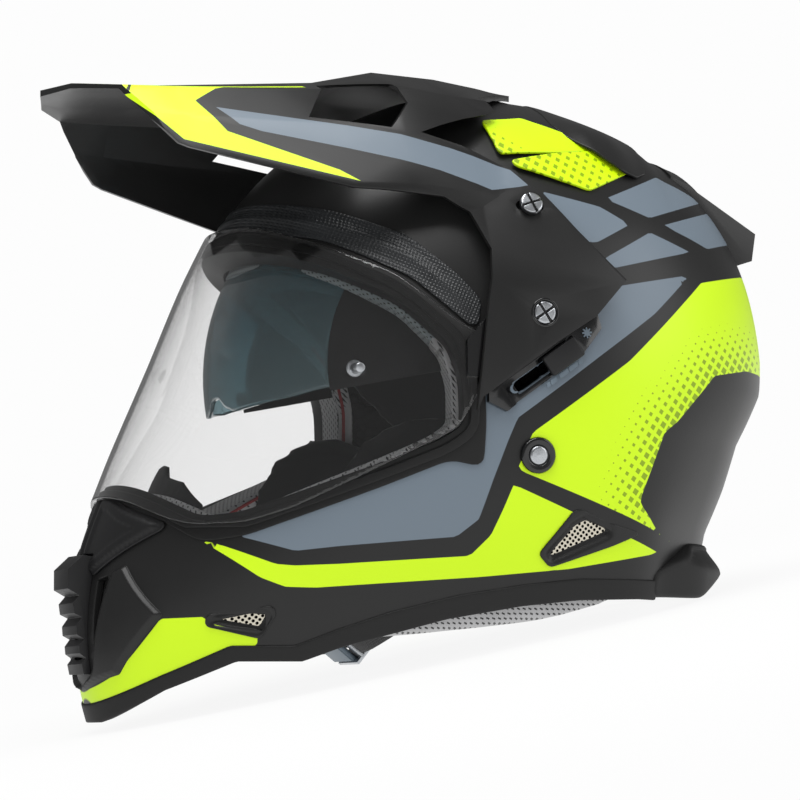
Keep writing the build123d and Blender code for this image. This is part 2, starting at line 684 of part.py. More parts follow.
def eps_liner():
    foam = layer(EPS_INNER, EPS_LIFT) & above_seam(EPS_EDGE_RISE)
    foam -= eyeport()
    foam -= front_block(SPLIT_Y, 0)
    foam -= visor_pocket()
    for x0, x1, radius in ((VISOR_HUB_INNER - 2, VISOR_HUB_OUTER + 0.7, VISOR_HUB_RADIUS + 2),
                           (PIN_PLATE_X - 1, PIN_PLATE_X + PIN_PLATE_WALL + SEAT, PIN_PLATE_RADIUS + SEAT),
                           (VISOR_HUB_OUTER, PIN_PLATE_X, VISOR_PIN_RADIUS + SEAT)):
        for bar in both(rod(x0, x1, VISOR_Y, VISOR_Z, radius)):
            foam -= bar
    foam -= rod(LEVER_INNER - 0.6, VISOR_HUB_OUTER + 0.7, VISOR_Y, VISOR_Z, LEVER_LENGTH + 10)
    foam -= carriage_pocket()
    foam -= stem_slot(CARRIAGE_X, SHELL_WIDTH / 2, RUN + 0.6)
    for slot in both(strap_blank(0.8)):
        foam -= slot
    for bar in both(rod(SHELL_WIDTH / 2 - SHELL_WALL - 6, SHELL_WIDTH / 2, RIVET_Y, RIVET_Z, WASHER_RADIUS)):
        foam -= bar
    for hole in both(top_screw_bar(TOP_SHANK_RADIUS + 1, -12, 0)):
        foam -= hole
    for hole in both(rod(SHELL_WIDTH / 2 - 14, SHELL_WIDTH / 2, HINGE_Y, HINGE_Z, HUB_BORE + 1)):
        foam -= hole
    return foam


def carriage_pocket():
    return track(CARRIAGE_X - 0.5, CARRIAGE_X + CARRIAGE_WALL + 0.5,
                 -SLIDER_TRAVEL - 17.0, 7.5, -18.5, 4.5)


def chin_eps():
    foam = layer(EPS_LIFT - CHIN_EPS_WALL, EPS_LIFT) & above_seam(EPS_EDGE_RISE)
    foam -= eyeport()
    foam &= front_block(SPLIT_Y - 0.3, 0)
    foam -= front_prism(front_outline(MOUTH_SHARES), -CHIN_PANEL_BACK)
    for side in both(front_side(SLOT_SHARES)):
        foam -= side
    for cutter in vent_cutters():
        foam -= cutter
    return foam


def crown_liner():
    pad = layer(LINER_LIFT - LINER_WALL, LINER_LIFT) & side_prism(outline(LINER_SHARES))
    for x in LINER_CHANNELS:
        channel = Box(LINER_CHANNEL_WIDTH, LINER_CHANNEL_LENGTH, SHELL_HEIGHT)
        pad -= Pos(x, VISOR_Y, SHELL_HEIGHT * 0.68) * channel
    pad -= visor_pocket()
    for bar in both(rod(VISOR_HUB_INNER - 5, VISOR_HUB_OUTER, VISOR_Y, VISOR_Z, VISOR_HUB_RADIUS + 2)):
        pad -= bar
    return pad


def cheek_pad():
    """The left cheek pad: a crowned cushion against the foam."""
    x, y, z = CHEEK_CENTRE
    rx, ry, rz = CHEEK_RADII
    dome = Pos(x, y, z) * Rot(12, 0, 0) * scale(Sphere(1), (rx, ry, rz))
    pad = dome & body(LINER_LIFT - 0.2)
    pad -= strap_blank(0.8)
    return pad


def neck_roll():
    roll = layer(EPS_INNER, -9.0)
    for slot in both(strap_blank(0.8)):
        roll -= slot
    roll &= side_prism(outline(NECK_SHARES))
    return roll - (above_seam(EPS_EDGE_RISE - 0.3) & body(0))


def eyeport_frame():
    outer = side_prism(outline(FRAME_SHARES)) - eyeport(-FLANGE_WALL)
    face = layer(SEAT, FRAME_LIFT) & outer
    flange = layer(-FLANGE_DEPTH, FRAME_LIFT) & (eyeport(-SEAT) - eyeport(-FLANGE_WALL))
    return face + flange


def eyeport_gasket():
    return layer(FRAME_LIFT + SEAT, GASKET_LIFT) & (eyeport(GASKET_OUT) - eyeport(GASKET_IN))


def neck_edge_trim():
    band = outline(NECK_SEAM_SHARES) + outline(NECK_LOW_SHARES)
    trim = layer(-TRIM_DEPTH, TRIM_LIFT) & (Pos(0, 0, -SEAT) * side_prism(band))
    lip = layer(-TRIM_DEPTH, LIP_LIFT) & side_prism(outline(LIP_SHARES))
    lip -= body(SEAT) & above_seam(-SEAT)
    return trim - Pos(0, LIP_Y + SHELL_LENGTH / 2, 0) * Box(2 * SHELL_WIDTH, SHELL_LENGTH, 2 * SHELL_HEIGHT), lip


def brow_trim():
    return layer(SEAT, FRAME_LIFT) & side_prism(outline(BROW_SHARES))


def face_shield():
    lift = SHIELD_LIFT
    lens = layer(lift, lift + SHIELD_WALL) & side_prism(outline(SHIELD_SHARES))
    ear_face = side_face(outline(EAR_SHARES))
    ear = Pos(EAR_X, 0, 0) * extrude(ear_face, EAR_WALL, dir=(1, 0, 0))
    ear += rod(EAR_X, EAR_X + EAR_WALL, HINGE_Y, HINGE_Z, EAR_RADIUS)
    for piece in both(ear):
        lens += piece
    for hole in both(rod(EAR_X - 5, EAR_X + 9, HINGE_Y, HINGE_Z, HUB_RADIUS + PIVOT_PLAY)):
        lens -= hole
    tab = front_prism(front_outline(TAB_SHARES), -CHIN_PANEL_BACK) & layer(lift + 0.3, lift + SHIELD_WALL + TAB_LIFT)
    lens += tab
    for hole in both(rod(100, 130, PIN_Y, PIN_Z, PIN_HOLE)):
        lens -= hole
    return lens


def lens_pin():
    x = side_x(PIN_Y, PIN_Z)
    return rod(x - 0.5, x + 9.3, PIN_Y, PIN_Z, PIN_HOLE - 0.1) + rod(x - 0.5, x + 0.9, PIN_Y, PIN_Z, 4.2)


def pivot_hub():
    flange = rod(SHELL_WIDTH / 2 - 12, EAR_X - RUN, HINGE_Y, HINGE_Z, HUB_FLANGE_RADIUS)
    hub = flange + rod(SHELL_WIDTH / 2 - 12, EAR_X + EAR_WALL + 0.2, HINGE_Y, HINGE_Z, HUB_RADIUS)
    hub -= body(SEAT)
    hub -= rod(SHELL_WIDTH / 2 - 20, SHELL_WIDTH / 2 + 9, HINGE_Y, HINGE_Z, HUB_BORE)
    return hub


def peak_envelope(inset):
    """The faceted roof of the peak, or its inner side at an inset."""
    sections = []
    for share, corners in zip(PEAK_STATION_SHARES, PEAK_CORNER_SHARES):
        half = []
        for index, (x, z) in enumerate(front_outline(corners)):
            lean = index / (len(corners) - 1)
            half.append((max(x - inset * lean, 0), z - inset * (1.05 - 0.8 * lean)))
        half.append((half[-1][0], -0.3 * SHELL_HEIGHT))
        ring = [(-x, z) for x, z in half[:0:-1]] + half
        y = share * SHELL_LENGTH
        sections.append(Wire(Polyline(*[(x, y, z) for x, z in ring], close=True).edges()))
    return Solid.make_loft(sections, ruled=True)


def arm_pad(inset):
    """The flat raised pad of the peak's arm, which leans in towards the roof above."""
    flat = ARM_X + PEAK_WALL
    profile = [(0, ARM_PAD_LOW), (flat, ARM_PAD_LOW), (flat, ARM_PAD_BEND),
               (ARM_PAD_TOP_X, ARM_PAD_TOP_Z), (0, ARM_PAD_TOP_Z)]
    face = make_face(Polyline(*[(max(x - inset, 0), 0, z) for x, z in profile], close=True))
    return Pos(0, HINGE_Y, 0) * extrude(face, ARM_PAD_REACH, dir=(0, 1, 0), both=True)


def peak():
    outer = peak_envelope(0) + body(ARM_LIFT + PEAK_WALL)
    inner = peak_envelope(PEAK_WALL) + body(ARM_LIFT)
    for pad in both(arm_pad(0)):
        outer += pad
    for pad in both(arm_pad(PEAK_WALL)):
        inner += pad
    shell = outer & side_prism(outline(PEAK_SHARES))
    plan = [(x * SHELL_WIDTH, y * SHELL_LENGTH) for x, y in PEAK_PLAN_SHARES]
    plan += [(-x, y) for x, y in plan[::-1] if x > 0]
    shell &= extrude(make_face(Polyline(*[(x, y, 0) for x, y in plan], close=True)), 2 * SHELL_HEIGHT, both=True)
    shell -= inner
    for vent in both(side_prism(outline(PEAK_VENT_SHARES), 20)):
        shell -= vent
    for hole in both(rod(100, 160, HINGE_Y, HINGE_Z, HUB_BORE + PIVOT_PLAY)):
        shell -= hole
    recess_x = ARM_X + PEAK_WALL - SCREW_RECESS_DEPTH
    for hole in both(rod(recess_x, 160, HINGE_Y, HINGE_Z, SCREW_HEAD_RADIUS + SCREW_RECESS_PLAY)):
        shell -= hole
    for slot in both(tilt_slot()):
        shell -= slot
    return shell


def tilt_slot():
    """The slot that lets the peak tilt past its upper screw."""
    place, out = surface_frame(TOP_SCREW_Y, TOP_SCREW_Z)
    plane = Plane(origin=place, z_dir=out, x_dir=(0, 1, 0))
    shape = plane * SlotCenterToCenter(PEAK_TILT_SLOT, 2 * (TOP_SHANK_RADIUS + RUN))
    return extrude(shape, 25)


def pivot_screw():
    head_x = ARM_X + PEAK_WALL - SCREW_RECESS_DEPTH + 0.2
    screw = rod(SHELL_WIDTH / 2 - 11, head_x + 0.1, HINGE_Y, HINGE_Z, HUB_BORE - SEAT)
    head = rod(head_x, head_x + SCREW_HEAD_HEIGHT, HINGE_Y, HINGE_Z, SCREW_HEAD_RADIUS)
    for turn in (45, 135):
        slot = Pos(head_x + SCREW_HEAD_HEIGHT, HINGE_Y, HINGE_Z) * Rot(turn, 0, 0) * Box(1.8, 1.6, 9)
        head -= slot
    return screw + head


def top_screw():
    lift = ARM_LIFT + PEAK_WALL + 1.2
    shank = top_screw_bar(TOP_SHANK_RADIUS - SEAT, -8, lift + 0.2)
    spacer = top_screw_bar(TOP_SPACER_RADIUS, -2, ARM_LIFT - 0.8) - body(SEAT)
    head = top_screw_bar(TOP_SCREW_RADIUS, lift, lift + 2.6)
    return shank + head, spacer - top_screw_bar(TOP_SHANK_RADIUS, -10, 20)


def visor_pieces():
    whole = visor_band(0, VISOR_WALL, VISOR_HIGH, VISOR_LOW)
    middle = Box(2 * VISOR_LENS_HALF, 4 * VISOR_REACH, 4 * VISOR_REACH)
    lens = whole & middle
    low = front_outline(VISOR_LOWER_SHARES)
    below = low + [(low[-1][0] + 20, -SHELL_HEIGHT), (0, -SHELL_HEIGHT)]
    lens -= front_prism(below, 0)
    arm = whole & Pos(VISOR_LENS_HALF + 0.1 + 25, 0, 0) * Box(50, 4 * VISOR_REACH, 4 * VISOR_REACH)
    arm += rod(VISOR_HUB_INNER, LEVER_INNER + 0.3, VISOR_Y, VISOR_Z, VISOR_HUB_RADIUS)
    arm += rod(LEVER_INNER, VISOR_HUB_OUTER, VISOR_Y, VISOR_Z, VISOR_HUB_RADIUS)
    hole = rod(VISOR_HUB_INNER - 3, VISOR_HUB_OUTER + 1, VISOR_Y, VISOR_Z, VISOR_PIN_RADIUS + 0.05)
    hole += rod(VISOR_HUB_INNER - 3, VISOR_HUB_INNER - 0.2, VISOR_Y, VISOR_Z, 4.8)
    right = mirror(arm - hole, Plane.YZ)
    angle = lever_angle()
    lever = Box(VISOR_HUB_OUTER - LEVER_INNER, LEVER_LENGTH + 8, LEVER_WIDTH)
    lever = Pos((VISOR_HUB_OUTER + LEVER_INNER) / 2, (LEVER_LENGTH + 8) / 2, 0) * lever
    groove = Box(10, 8, 2 * (LEVER_PIN_RADIUS + LEVER_SLOT_PLAY))
    lever -= Pos(VISOR_HUB_OUTER, LEVER_LENGTH + 1.2, 0) * groove
    left = arm + Pos(0, VISOR_Y, VISOR_Z) * Rot(angle, 0, 0) * lever
    return lens, left - hole, right


def lever_angle():
    """The lever's direction at rest, lowered, from the back, in degrees."""
    return TRACK_ANGLE - 90 + VISOR_LIFT_ANGLE / 2


def visor_pin():
    pin = rod(VISOR_HUB_INNER - 0.4, PIN_PLATE_X + 0.2, VISOR_Y, VISOR_Z, VISOR_PIN_RADIUS)
    pin += rod(PIN_PLATE_X, PIN_PLATE_X + PIN_PLATE_WALL, VISOR_Y, VISOR_Z, PIN_PLATE_RADIUS)
    pin += rod(VISOR_HUB_INNER - 1.6, VISOR_HUB_INNER - 0.3, VISOR_Y, VISOR_Z, 4.5)
    return pin


def slider():
    knob_x = KNOB_INNER
    knob = track(knob_x, knob_x + KNOB_HEIGHT, -KNOB_LENGTH / 2, KNOB_LENGTH / 2, -KNOB_WIDTH / 2, KNOB_WIDTH / 2)
    stem = track(CARRIAGE_X + 1, knob_x + 0.5, -STEM_LENGTH / 2, STEM_LENGTH / 2, -STEM_WIDTH / 2, STEM_WIDTH / 2)
    knob += stem
    pin_y = VISOR_Y + LEVER_LENGTH / math.cos(math.radians(VISOR_LIFT_ANGLE / 2)) * math.cos(math.radians(lever_angle()))
    pin_z = VISOR_Z + LEVER_LENGTH / math.cos(math.radians(VISOR_LIFT_ANGLE / 2)) * math.sin(math.radians(lever_angle()))
    plate = track(CARRIAGE_X, CARRIAGE_X + CARRIAGE_WALL, -15, 5, -17, 4)
    plate -= stem
    plate += rod(LEVER_INNER, CARRIAGE_X + 0.5, pin_y, pin_z, LEVER_PIN_RADIUS)
    return knob, plate


def slider_bezel():
    bezel = layer(SEAT, BEZEL_LIFT) & side_prism(outline(BEZEL_SHARES), 60)
    half = KNOB_LENGTH / 2 + RUN
    room = track(100, 150, -SLIDER_TRAVEL - half, half, -KNOB_WIDTH / 2 - RUN, KNOB_WIDTH / 2 + RUN)
    bezel -= room - body(BEZEL_FLOOR)
    bezel -= stem_slot(100, 150, RUN)
    return bezel


def rear_spoiler():
    wedge = side_prism(outline(TAIL_SHARES), -60, 60)
    block = (body(SPOILER_LIFT) & side_prism(outline(CREST_SHARES), -80, 80)) + wedge
    plan = [(x * SHELL_WIDTH, y * SHELL_LENGTH) for y, x in SPOILER_PLAN_SHARES]
    plan += [(-x, y) for x, y in plan[::-1] if x > 0]
    block &= extrude(make_face(Polyline(*[(x, y, 0) for x, y in plan], close=True)), SHELL_HEIGHT)
    return block - body(SEAT)


def crown_scoop():
    shape = side_prism(outline(SCOOP_UPPER_SHARES), 30) + side_prism(outline(SCOOP_LOWER_SHARES), 30)
    return layer(SEAT, SCOOP_LIFT) & shape


def vent_meshes(shares):
    return both(layer(-SHELL_WALL + 0.6, -SHELL_WALL + 1.6) & side_prism(outline(shares), 40))


def chin_cover():
    cover = layer(2 * SEAT, CHIN_COVER_LIFT) & front_prism(front_outline(CHIN_COVER_SHARES), -CHIN_PANEL_BACK)
    return cover - Pos(0, 0, -SEAT) * side_prism(outline(FRAME_SHARES))


def mouth_grille():
    half = 15.5
    block = side_prism(outline(MOUTH_PROFILE_SHARES), -half, half)
    bore = Pos(0, -150, -112) * Box(16, 36, 40)
    return block - body(2 * SEAT) - bore


def breath_guard():
    flap = layer(-21.4, -19.4) & front_prism(front_outline(BREATH_SHARES), -60)
    return flap


def rivet():
    x = side_x(RIVET_Y, RIVET_Z)
    body_ = rod(x - SHELL_WALL - 4.6, x + 1.4, RIVET_Y, RIVET_Z, RIVET_RADIUS - 0.1)
    head = rod(x + WASHER_LIFT + 0.1, x + WASHER_LIFT + 1.4, RIVET_Y, RIVET_Z, RIVET_RADIUS + 1)
    washer = rod(x - 4, x + WASHER_LIFT, RIVET_Y, RIVET_Z, WASHER_RADIUS) - body(SEAT)
    return body_ + rod(x, x + WASHER_LIFT + 0.3, RIVET_Y, RIVET_Z, 2) + head, washer - rod(x - 9, x + 9, RIVET_Y, RIVET_Z, RIVET_RADIUS)


def pair(name, piece):
    """A left piece and its mirror image on the right, as two nodes."""
    left, right = both(piece)
    return {name + "_left": left, name + "_right": right}


def group(pieces):
    """Separate solids that share one node."""
    return Compound(children=[solid for piece in pieces for solid in piece.solids()])


def all_nodes():
    trim, lip = neck_edge_trim()
    lens, arm_left, arm_right = visor_pieces()
    knob, carriage = slider()
    screw, spacer = top_screw()
    rivet_piece, washer = rivet()
    nodes = {
        "outer_shell": outer_shell(),
        "eps_liner": eps_liner(),
        "chin_eps": chin_eps(),
        "crown_liner": crown_liner(),
        "neck_roll": neck_roll(),
        "eyeport_frame": eyeport_frame(),
        "eyeport_gasket": eyeport_gasket(),
        "neck_edge_trim": trim,
        "rear_lip": lip,
        "brow_trim": brow_trim(),
        "face_shield": face_shield(),
        "shield_lens_pins": group(both(lens_pin())),
        "peak": peak(),
        "peak_pivot_screws": group(both(pivot_screw())),
        "peak_top_screws": group(both(screw)),
        "peak_spacers": group(both(spacer)),
        "sun_visor_lens": lens,
        "sun_visor_arm_left": arm_left,
        "sun_visor_arm_right": arm_right,
        "sun_visor_pins": group(both(visor_pin())),
        "slider_knob": knob,
        "slider_carriage": carriage,
        "slider_bezel": slider_bezel(),
        "rear_spoiler": rear_spoiler(),
        "chin_vent_cover": chin_cover(),
        "mouth_grille": mouth_grille(),
        "breath_guard": breath_guard(),
        "buckle_body": buckle_body(),
        "buckle_lever": buckle_lever(),
        "buckle_tongue": buckle_tongue(),
        "strap_rivets": group(both(rivet_piece)),
        "strap_washers": group(both(washer)),
    }
    nodes |= pair("cheek_pad", cheek_pad())
    nodes |= pair("pivot_hub", pivot_hub())
    nodes |= pair("crown_scoop", crown_scoop())
    nodes |= pair("chin_strap", chin_strap())
    for name, shares in (("chin_vent_mesh", CHIN_VENT_SHARES), ("rear_vent_mesh", REAR_VENT_SHARES)):
        left, right = vent_meshes(shares)
        nodes |= {name + "_left": left, name + "_right": right}
    return nodes


def standing(nodes):
    """The nodes as the helmet stands, with the origin under the middle of its box."""
    chin = spot(*CHIN_REST_SHARES)
    rear = spot(*REAR_REST_SHARES)
    tilt = math.degrees(math.atan2(rear[1] - chin[1], rear[0] - chin[0]))
    turned = {name: Rot(-tilt, 0, 0) * piece for name, piece in nodes.items()}
    facet = SHELL_WALL / 40
    corners = [corner for piece in turned.values() for corner in piece.tessellate(facet, FACET_ANGLE)[0]]
    y = (min(corner.Y for corner in corners) + max(corner.Y for corner in corners)) / 2
    z = min(corner.Z for corner in corners)
    print(f"standing: turned {-tilt:.4f} degrees about X, then moved by Y {-y:.4f} and Z {-z:.4f}")
    return {name: Pos(0, -y, -z) * piece for name, piece in turned.items()}


for node, piece in standing(all_nodes()).items():
    export_step(piece, f"parts/{node}.step")
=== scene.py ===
# %% [markdown]
# # A dual sport helmet, dressed over its CAD frame
# The CAD model gives every piece its place, its joints and its weight. Here each visible
# piece gets the skin that the eye sees: smooth painted shells, clear and tinted
# polycarbonate, moulded rubber, knitted mesh and webbing. A helmet could be sculpted by
# hand, but all its pieces follow one form, so that form is a formula here, and the pieces
# are cut out of it along drawn lines.

# %% Load the frame
import math

import bmesh
import bpy
import numpy as np
from mathutils import Matrix, Vector


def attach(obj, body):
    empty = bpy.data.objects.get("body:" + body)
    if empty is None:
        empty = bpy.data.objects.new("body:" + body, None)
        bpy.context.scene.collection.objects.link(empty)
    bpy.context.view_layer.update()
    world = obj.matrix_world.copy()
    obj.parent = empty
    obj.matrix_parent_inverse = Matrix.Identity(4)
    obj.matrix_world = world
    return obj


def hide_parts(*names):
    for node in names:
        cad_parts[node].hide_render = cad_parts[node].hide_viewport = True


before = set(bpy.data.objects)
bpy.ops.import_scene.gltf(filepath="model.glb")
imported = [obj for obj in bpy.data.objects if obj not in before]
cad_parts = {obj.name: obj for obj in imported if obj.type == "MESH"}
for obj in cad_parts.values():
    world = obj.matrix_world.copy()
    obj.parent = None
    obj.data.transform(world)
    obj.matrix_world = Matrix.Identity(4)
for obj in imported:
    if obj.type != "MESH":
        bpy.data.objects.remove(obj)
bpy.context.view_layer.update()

# %% [markdown]
# ## Two attitudes
# A helmet is designed as it is worn, level on the head, but on a table it rests nose-up
# on its chin bar and the back of its neck roll. Drawing it tilted would make every line
# harder to read. All shapes below are worked out as worn, in metres, and then turned
# about X and moved onto the floor.

# %% From worn to standing
MM = 0.001
NOSE_UP = math.radians(12.8438)
STAND_MOVE = np.array([0.0, 1.5924, 130.7744]) * MM
NOSE_TURN = Matrix.Rotation(-NOSE_UP, 3, "X")
SIDES = (("left", 1), ("right", -1))


def stand(points):
    """Turns points by the nose-up angle about X, then moves them onto the floor."""
    x, y, z = np.moveaxis(np.asarray(points, float), -1, 0)
    c, s = math.cos(NOSE_UP), math.sin(NOSE_UP)
    return np.stack([x, y * c + z * s, z * c - y * s], -1) + STAND_MOVE


def worn(points):
    """The way back: from the floor to the worn attitude."""
    x, y, z = np.moveaxis(np.asarray(points, float) - STAND_MOVE, -1, 0)
    c, s = math.cos(NOSE_UP), math.sin(NOSE_UP)
    return np.stack([x, y * c - z * s, z * c + y * s], -1)


print("attitude: nose up by", round(math.degrees(NOSE_UP), 2), "degrees")

# %% [markdown]
# ## Camera
# The photograph was taken from the wearer's left and a little ahead, from about two
# metres with a long lens, level with the bottom edge of the eye opening. The lens follows
# from the scale of the photograph, so that the render lies over it.

# %% Place the camera
CAMERA_AHEAD = math.radians(18.0)
CAMERA_BELOW = math.radians(4.3)
CAMERA_DISTANCE = 2.2
CAMERA_SEES = 20
PIXELS_PER_MM = 1.95
PHOTO_PIXELS = 800
SENSOR = 36.0

level, drop = math.cos(CAMERA_BELOW), math.sin(CAMERA_BELOW)
ahead, aside = math.sin(CAMERA_AHEAD), math.cos(CAMERA_AHEAD)
toward = np.array([aside * level, -ahead * level, -drop])
upward = np.array([aside * drop, -ahead * drop, level])
origin = stand((0, 0, 0))
back_axis, up_axis = stand(toward) - origin, stand(upward) - origin
axes = np.column_stack([np.cross(up_axis, back_axis), up_axis, back_axis])

camera_data = bpy.data.cameras.new("photo_camera")
camera_data.sensor_width = SENSOR
camera_data.lens = SENSOR * CAMERA_DISTANCE / (PHOTO_PIXELS / PIXELS_PER_MM * MM)
camera_data.clip_end = CAMERA_SEES
camera = bpy.data.objects.new("photo_camera", camera_data)
bpy.context.scene.collection.objects.link(camera)
camera.matrix_world = Matrix.Translation(stand(toward * CAMERA_DISTANCE)) @ Matrix(axes.tolist()).to_4x4()
bpy.context.scene.camera = camera
print("camera: lens", round(camera_data.lens, 1), "mm")

# %% [markdown]
# ## The form of the shell
# A helmet's outer surface is drawn as a stack of level sections. It could be a
# subdivision cage of a few hundred points, but then each rubber edge and vent would have
# to be fitted to it again. Here each section is a superellipse, rounder in front than at
# the back, and a smooth cubic joins the twelve sections from the crown to the neck. The
# shield, rubber edges, scoops and vents are patches of the same surface, lifted off it.

# %% The sections
LENGTH, WIDTH, HEIGHT = 357.5 * MM, 252 * MM, 320 * MM
CROWN, WIDEST = 0.4875, 0.084
FRONT_POWER, REAR_POWER = 2.1, 2.25
# Drop below the crown as a share of the height, reach forward and back as shares of the
# length, and half width as a share of the width
SECTIONS = np.array([
    (0.0, 0.0, 0.0, 0.0),
    (0.0047, 0.053, 0.0755, 0.083),
    (0.0188, 0.108, 0.140, 0.159),
    (0.0781, 0.221, 0.2615, 0.296),
    (0.1719, 0.312, 0.357, 0.401),
    (0.2938, 0.375, 0.418, 0.468),
    (0.45, 0.435, 0.443, 0.499),
    (0.6188, 0.501, 0.434, 0.494),
    (0.7625, 0.547, 0.411, 0.464),
    (0.8875, 0.557, 0.389, 0.411),
    (1.0125, 0.534, 0.364, 0.341),
    (1.075, 0.506, 0.347, 0.302),
])
LAST = len(SECTIONS) - 1


def cubic(table, row, part):
    """A cubic through the rows of a table, with each row's slope taken from its two
    neighbours. The table has one row more at each end; part runs from 0 to 1."""
    before, start, end, after = (table[row + step] for step in range(4))
    bend = 2 * before - 5 * start + 4 * end - after
    twist = 3 * (start - end) + after - before
    return start + 0.5 * part * (end - before + part * (bend + part * twist))


def section(place):
    """The four sizes at places down the stack, read from the cubic."""
    table = np.vstack([SECTIONS[1] * (1, -1, -1, -1), SECTIONS, SECTIONS[-1:]])
    row = np.clip(np.asarray(place, float).astype(int), 0, LAST - 1)
    return cubic(table, row, (place - row)[..., None])


print("sections:", len(SECTIONS), "over", round(SECTIONS[-1, 0] * HEIGHT / MM), "mm")

# %% Two corrections of the stack
# The nape: levels and how far it moves forward there. The saddle behind the scoops:
# places along the helmet and how far the crown sinks there. All in millimetres.
NAPE_LEVELS, NAPE_IN = (-110, -68, -46, -23, -12, 3, 20), (24, 24, 18, 13, 8, 1.5, 0)
NAPE_FROM, NAPE_OVER = 70, 85
SADDLE_PLACES, SADDLE_DOWN = (35, 50, 110, 119, 127, 138), (0, 1.7, 1.9, 4.2, 2.2, 0)
SADDLE_FULL, SADDLE_FADE, SADDLE_ABOVE = 1.4, 75, 80


def smooth(value):
    """A step from 0 to 1 with level ends: three times the square less twice the cube."""
    value = np.clip(value, 0, 1)
    return value * value * (3 - 2 * value)


def tucked(points):
    """Draws the nape in: points behind the ears move forward by the table's amount, all
    of it at the very back. Near the middle the crown sinks by the other table's amount."""
    share = smooth((points[..., 1] - NAPE_FROM * MM) / (NAPE_OVER * MM))
    moved = points.copy()
    moved[..., 1] -= share * np.interp(points[..., 2] / MM, NAPE_LEVELS, NAPE_IN) * MM
    top = np.clip(SADDLE_FULL - np.abs(points[..., 0]) / (SADDLE_FADE * MM), 0, 1)
    top = top * (points[..., 2] > SADDLE_ABOVE * MM)
    moved[..., 2] -= top * np.interp(points[..., 1] / MM, SADDLE_PLACES, SADDLE_DOWN) * MM
    return moved


print("nape: drawn in by up to", max(NAPE_IN), "mm, crown sunk by up to", max(SADDLE_DOWN), "mm")


# %% The surface and its normals
def surface(place, turn):
    """Points of the shell: at each place down the stack and each turn from the back,
    half width times sin to the power 2/p across, and reach times cos to it along."""
    drop, front, rear, half = np.moveaxis(section(place), -1, 0)
    across, along = np.sin(turn), np.cos(turn)
    behind = along > 0
    power = 2 / np.where(behind, REAR_POWER, FRONT_POWER)
    reach = np.where(behind, rear, front) * LENGTH
    x = half * WIDTH * np.sign(across) * np.abs(across) ** power
    y = WIDEST * LENGTH + reach * np.sign(along) * np.abs(along) ** power
    return tucked(np.stack([x, y, (CROWN - drop) * HEIGHT], -1))


NORMAL_STEP, POLE = 0.01, 0.03


def outward(place, turn):
    """Unit normals: the cross product of a short step round and a short step down. Both
    keep a little off the pole at the crown, where a step round has no length."""
    low = np.clip(place - NORMAL_STEP, POLE - NORMAL_STEP, LAST)
    high = np.clip(place + NORMAL_STEP, POLE + NORMAL_STEP, LAST)
    down = surface(high, turn) - surface(low, turn)
    beside = np.maximum(place, POLE)
    round_ = surface(beside, turn + NORMAL_STEP) - surface(beside, turn - NORMAL_STEP)
    normal = np.cross(round_, down)
    return normal / np.linalg.norm(normal, axis=-1, keepdims=True)


# %% Finding a point by where it is seen
PLACES = np.linspace(0, LAST, 2000)
LEVELS = (CROWN - section(PLACES)[:, 0]) * HEIGHT


def place_at(z):
    """The place down the stack whose section lies at a height."""
    return np.interp(-np.asarray(z, float), -LEVELS, PLACES)


def side_point(y, z, lift=0.0):
    """The point of the left side that is seen at y, z, moved out by a lift: the surface's
    formula solved for its turn."""
    place = place_at(z)
    drop, front, rear, half = np.moveaxis(section(place), -1, 0)
    along = (np.asarray(y, float) - WIDEST * LENGTH) / (np.where(y > WIDEST * LENGTH, rear, front) * LENGTH)
    power = np.where(along > 0, REAR_POWER, FRONT_POWER)
    turn_cos = np.sign(along) * np.abs(np.clip(along, -1, 1)) ** (power / 2)
    turn = np.arccos(np.clip(turn_cos, -1, 1))
    return surface(place, turn) + outward(place, turn) * lift


print("form: crown at", round(LEVELS[0] / MM), "mm, lowest section at", round(LEVELS[-1] / MM), "mm")

# %% [markdown]
# ## Cutting a skin along a drawn line
# A designer draws the eye opening or a rubber edge as a line in the side view and cuts
# the skin with it. Blender's boolean could cut too, but it leaves slivers on a dense
# skin. Here each point of a fine skin gets its distance to the drawn line, counted
# positive inside, and the triangles are trimmed where that distance passes zero. The same
# distance, kept as an attribute, later masks the paint.


# %% Distance to an outline
def distance(points, outline):
    """Signed distance from flat points to a closed outline: to the nearest of its straight
    runs, and positive where a level ray crosses the outline an odd number of times."""
    start = np.asarray(outline, float) * MM
    run = np.roll(start, -1, 0) - start
    away = points[:, None] - start[None]
    share = np.clip((away * run).sum(-1) / (run * run).sum(-1), 0, 1)
    nearest = np.linalg.norm(away - share[..., None] * run, axis=-1).min(1)
    ends = start + run
    spans = (start[:, 1] > points[:, None, 1]) != (ends[:, 1] > points[:, None, 1])
    slope = np.where(run[:, 1] == 0, 1, run[:, 1])
    crossing = start[:, 0] + (points[:, None, 1] - start[:, 1]) * run[:, 0] / slope
    inside = (spans & (points[:, None, 0] < crossing)).sum(1) % 2 == 1
    return np.where(inside, nearest, -nearest)


def rounded(outline, radius, steps=4):
    """An outline in millimetres with its corners replaced by bends: each is the parabola
    that starts and ends at the radius from its corner, or nearer on a short run."""
    corners = np.asarray(outline, float)
    before, after = np.roll(corners, 1, 0) - corners, np.roll(corners, -1, 0) - corners
    points = []
    for corner, back, onward in zip(corners, before, after):
        reach = min(radius, np.linalg.norm(back) / 2.2, np.linalg.norm(onward) / 2.2)
        start = corner + back / np.linalg.norm(back) * reach
        end = corner + onward / np.linalg.norm(onward) * reach
        for t in np.linspace(0, 1, steps + 1):
            points.append(start * (1 - t) ** 2 + corner * 2 * t * (1 - t) + end * t ** 2)
    return np.array(points)


def side_distance(points, outline):
    """Distance in the side view, for points as worn."""
    return distance(points[:, 1:], outline)


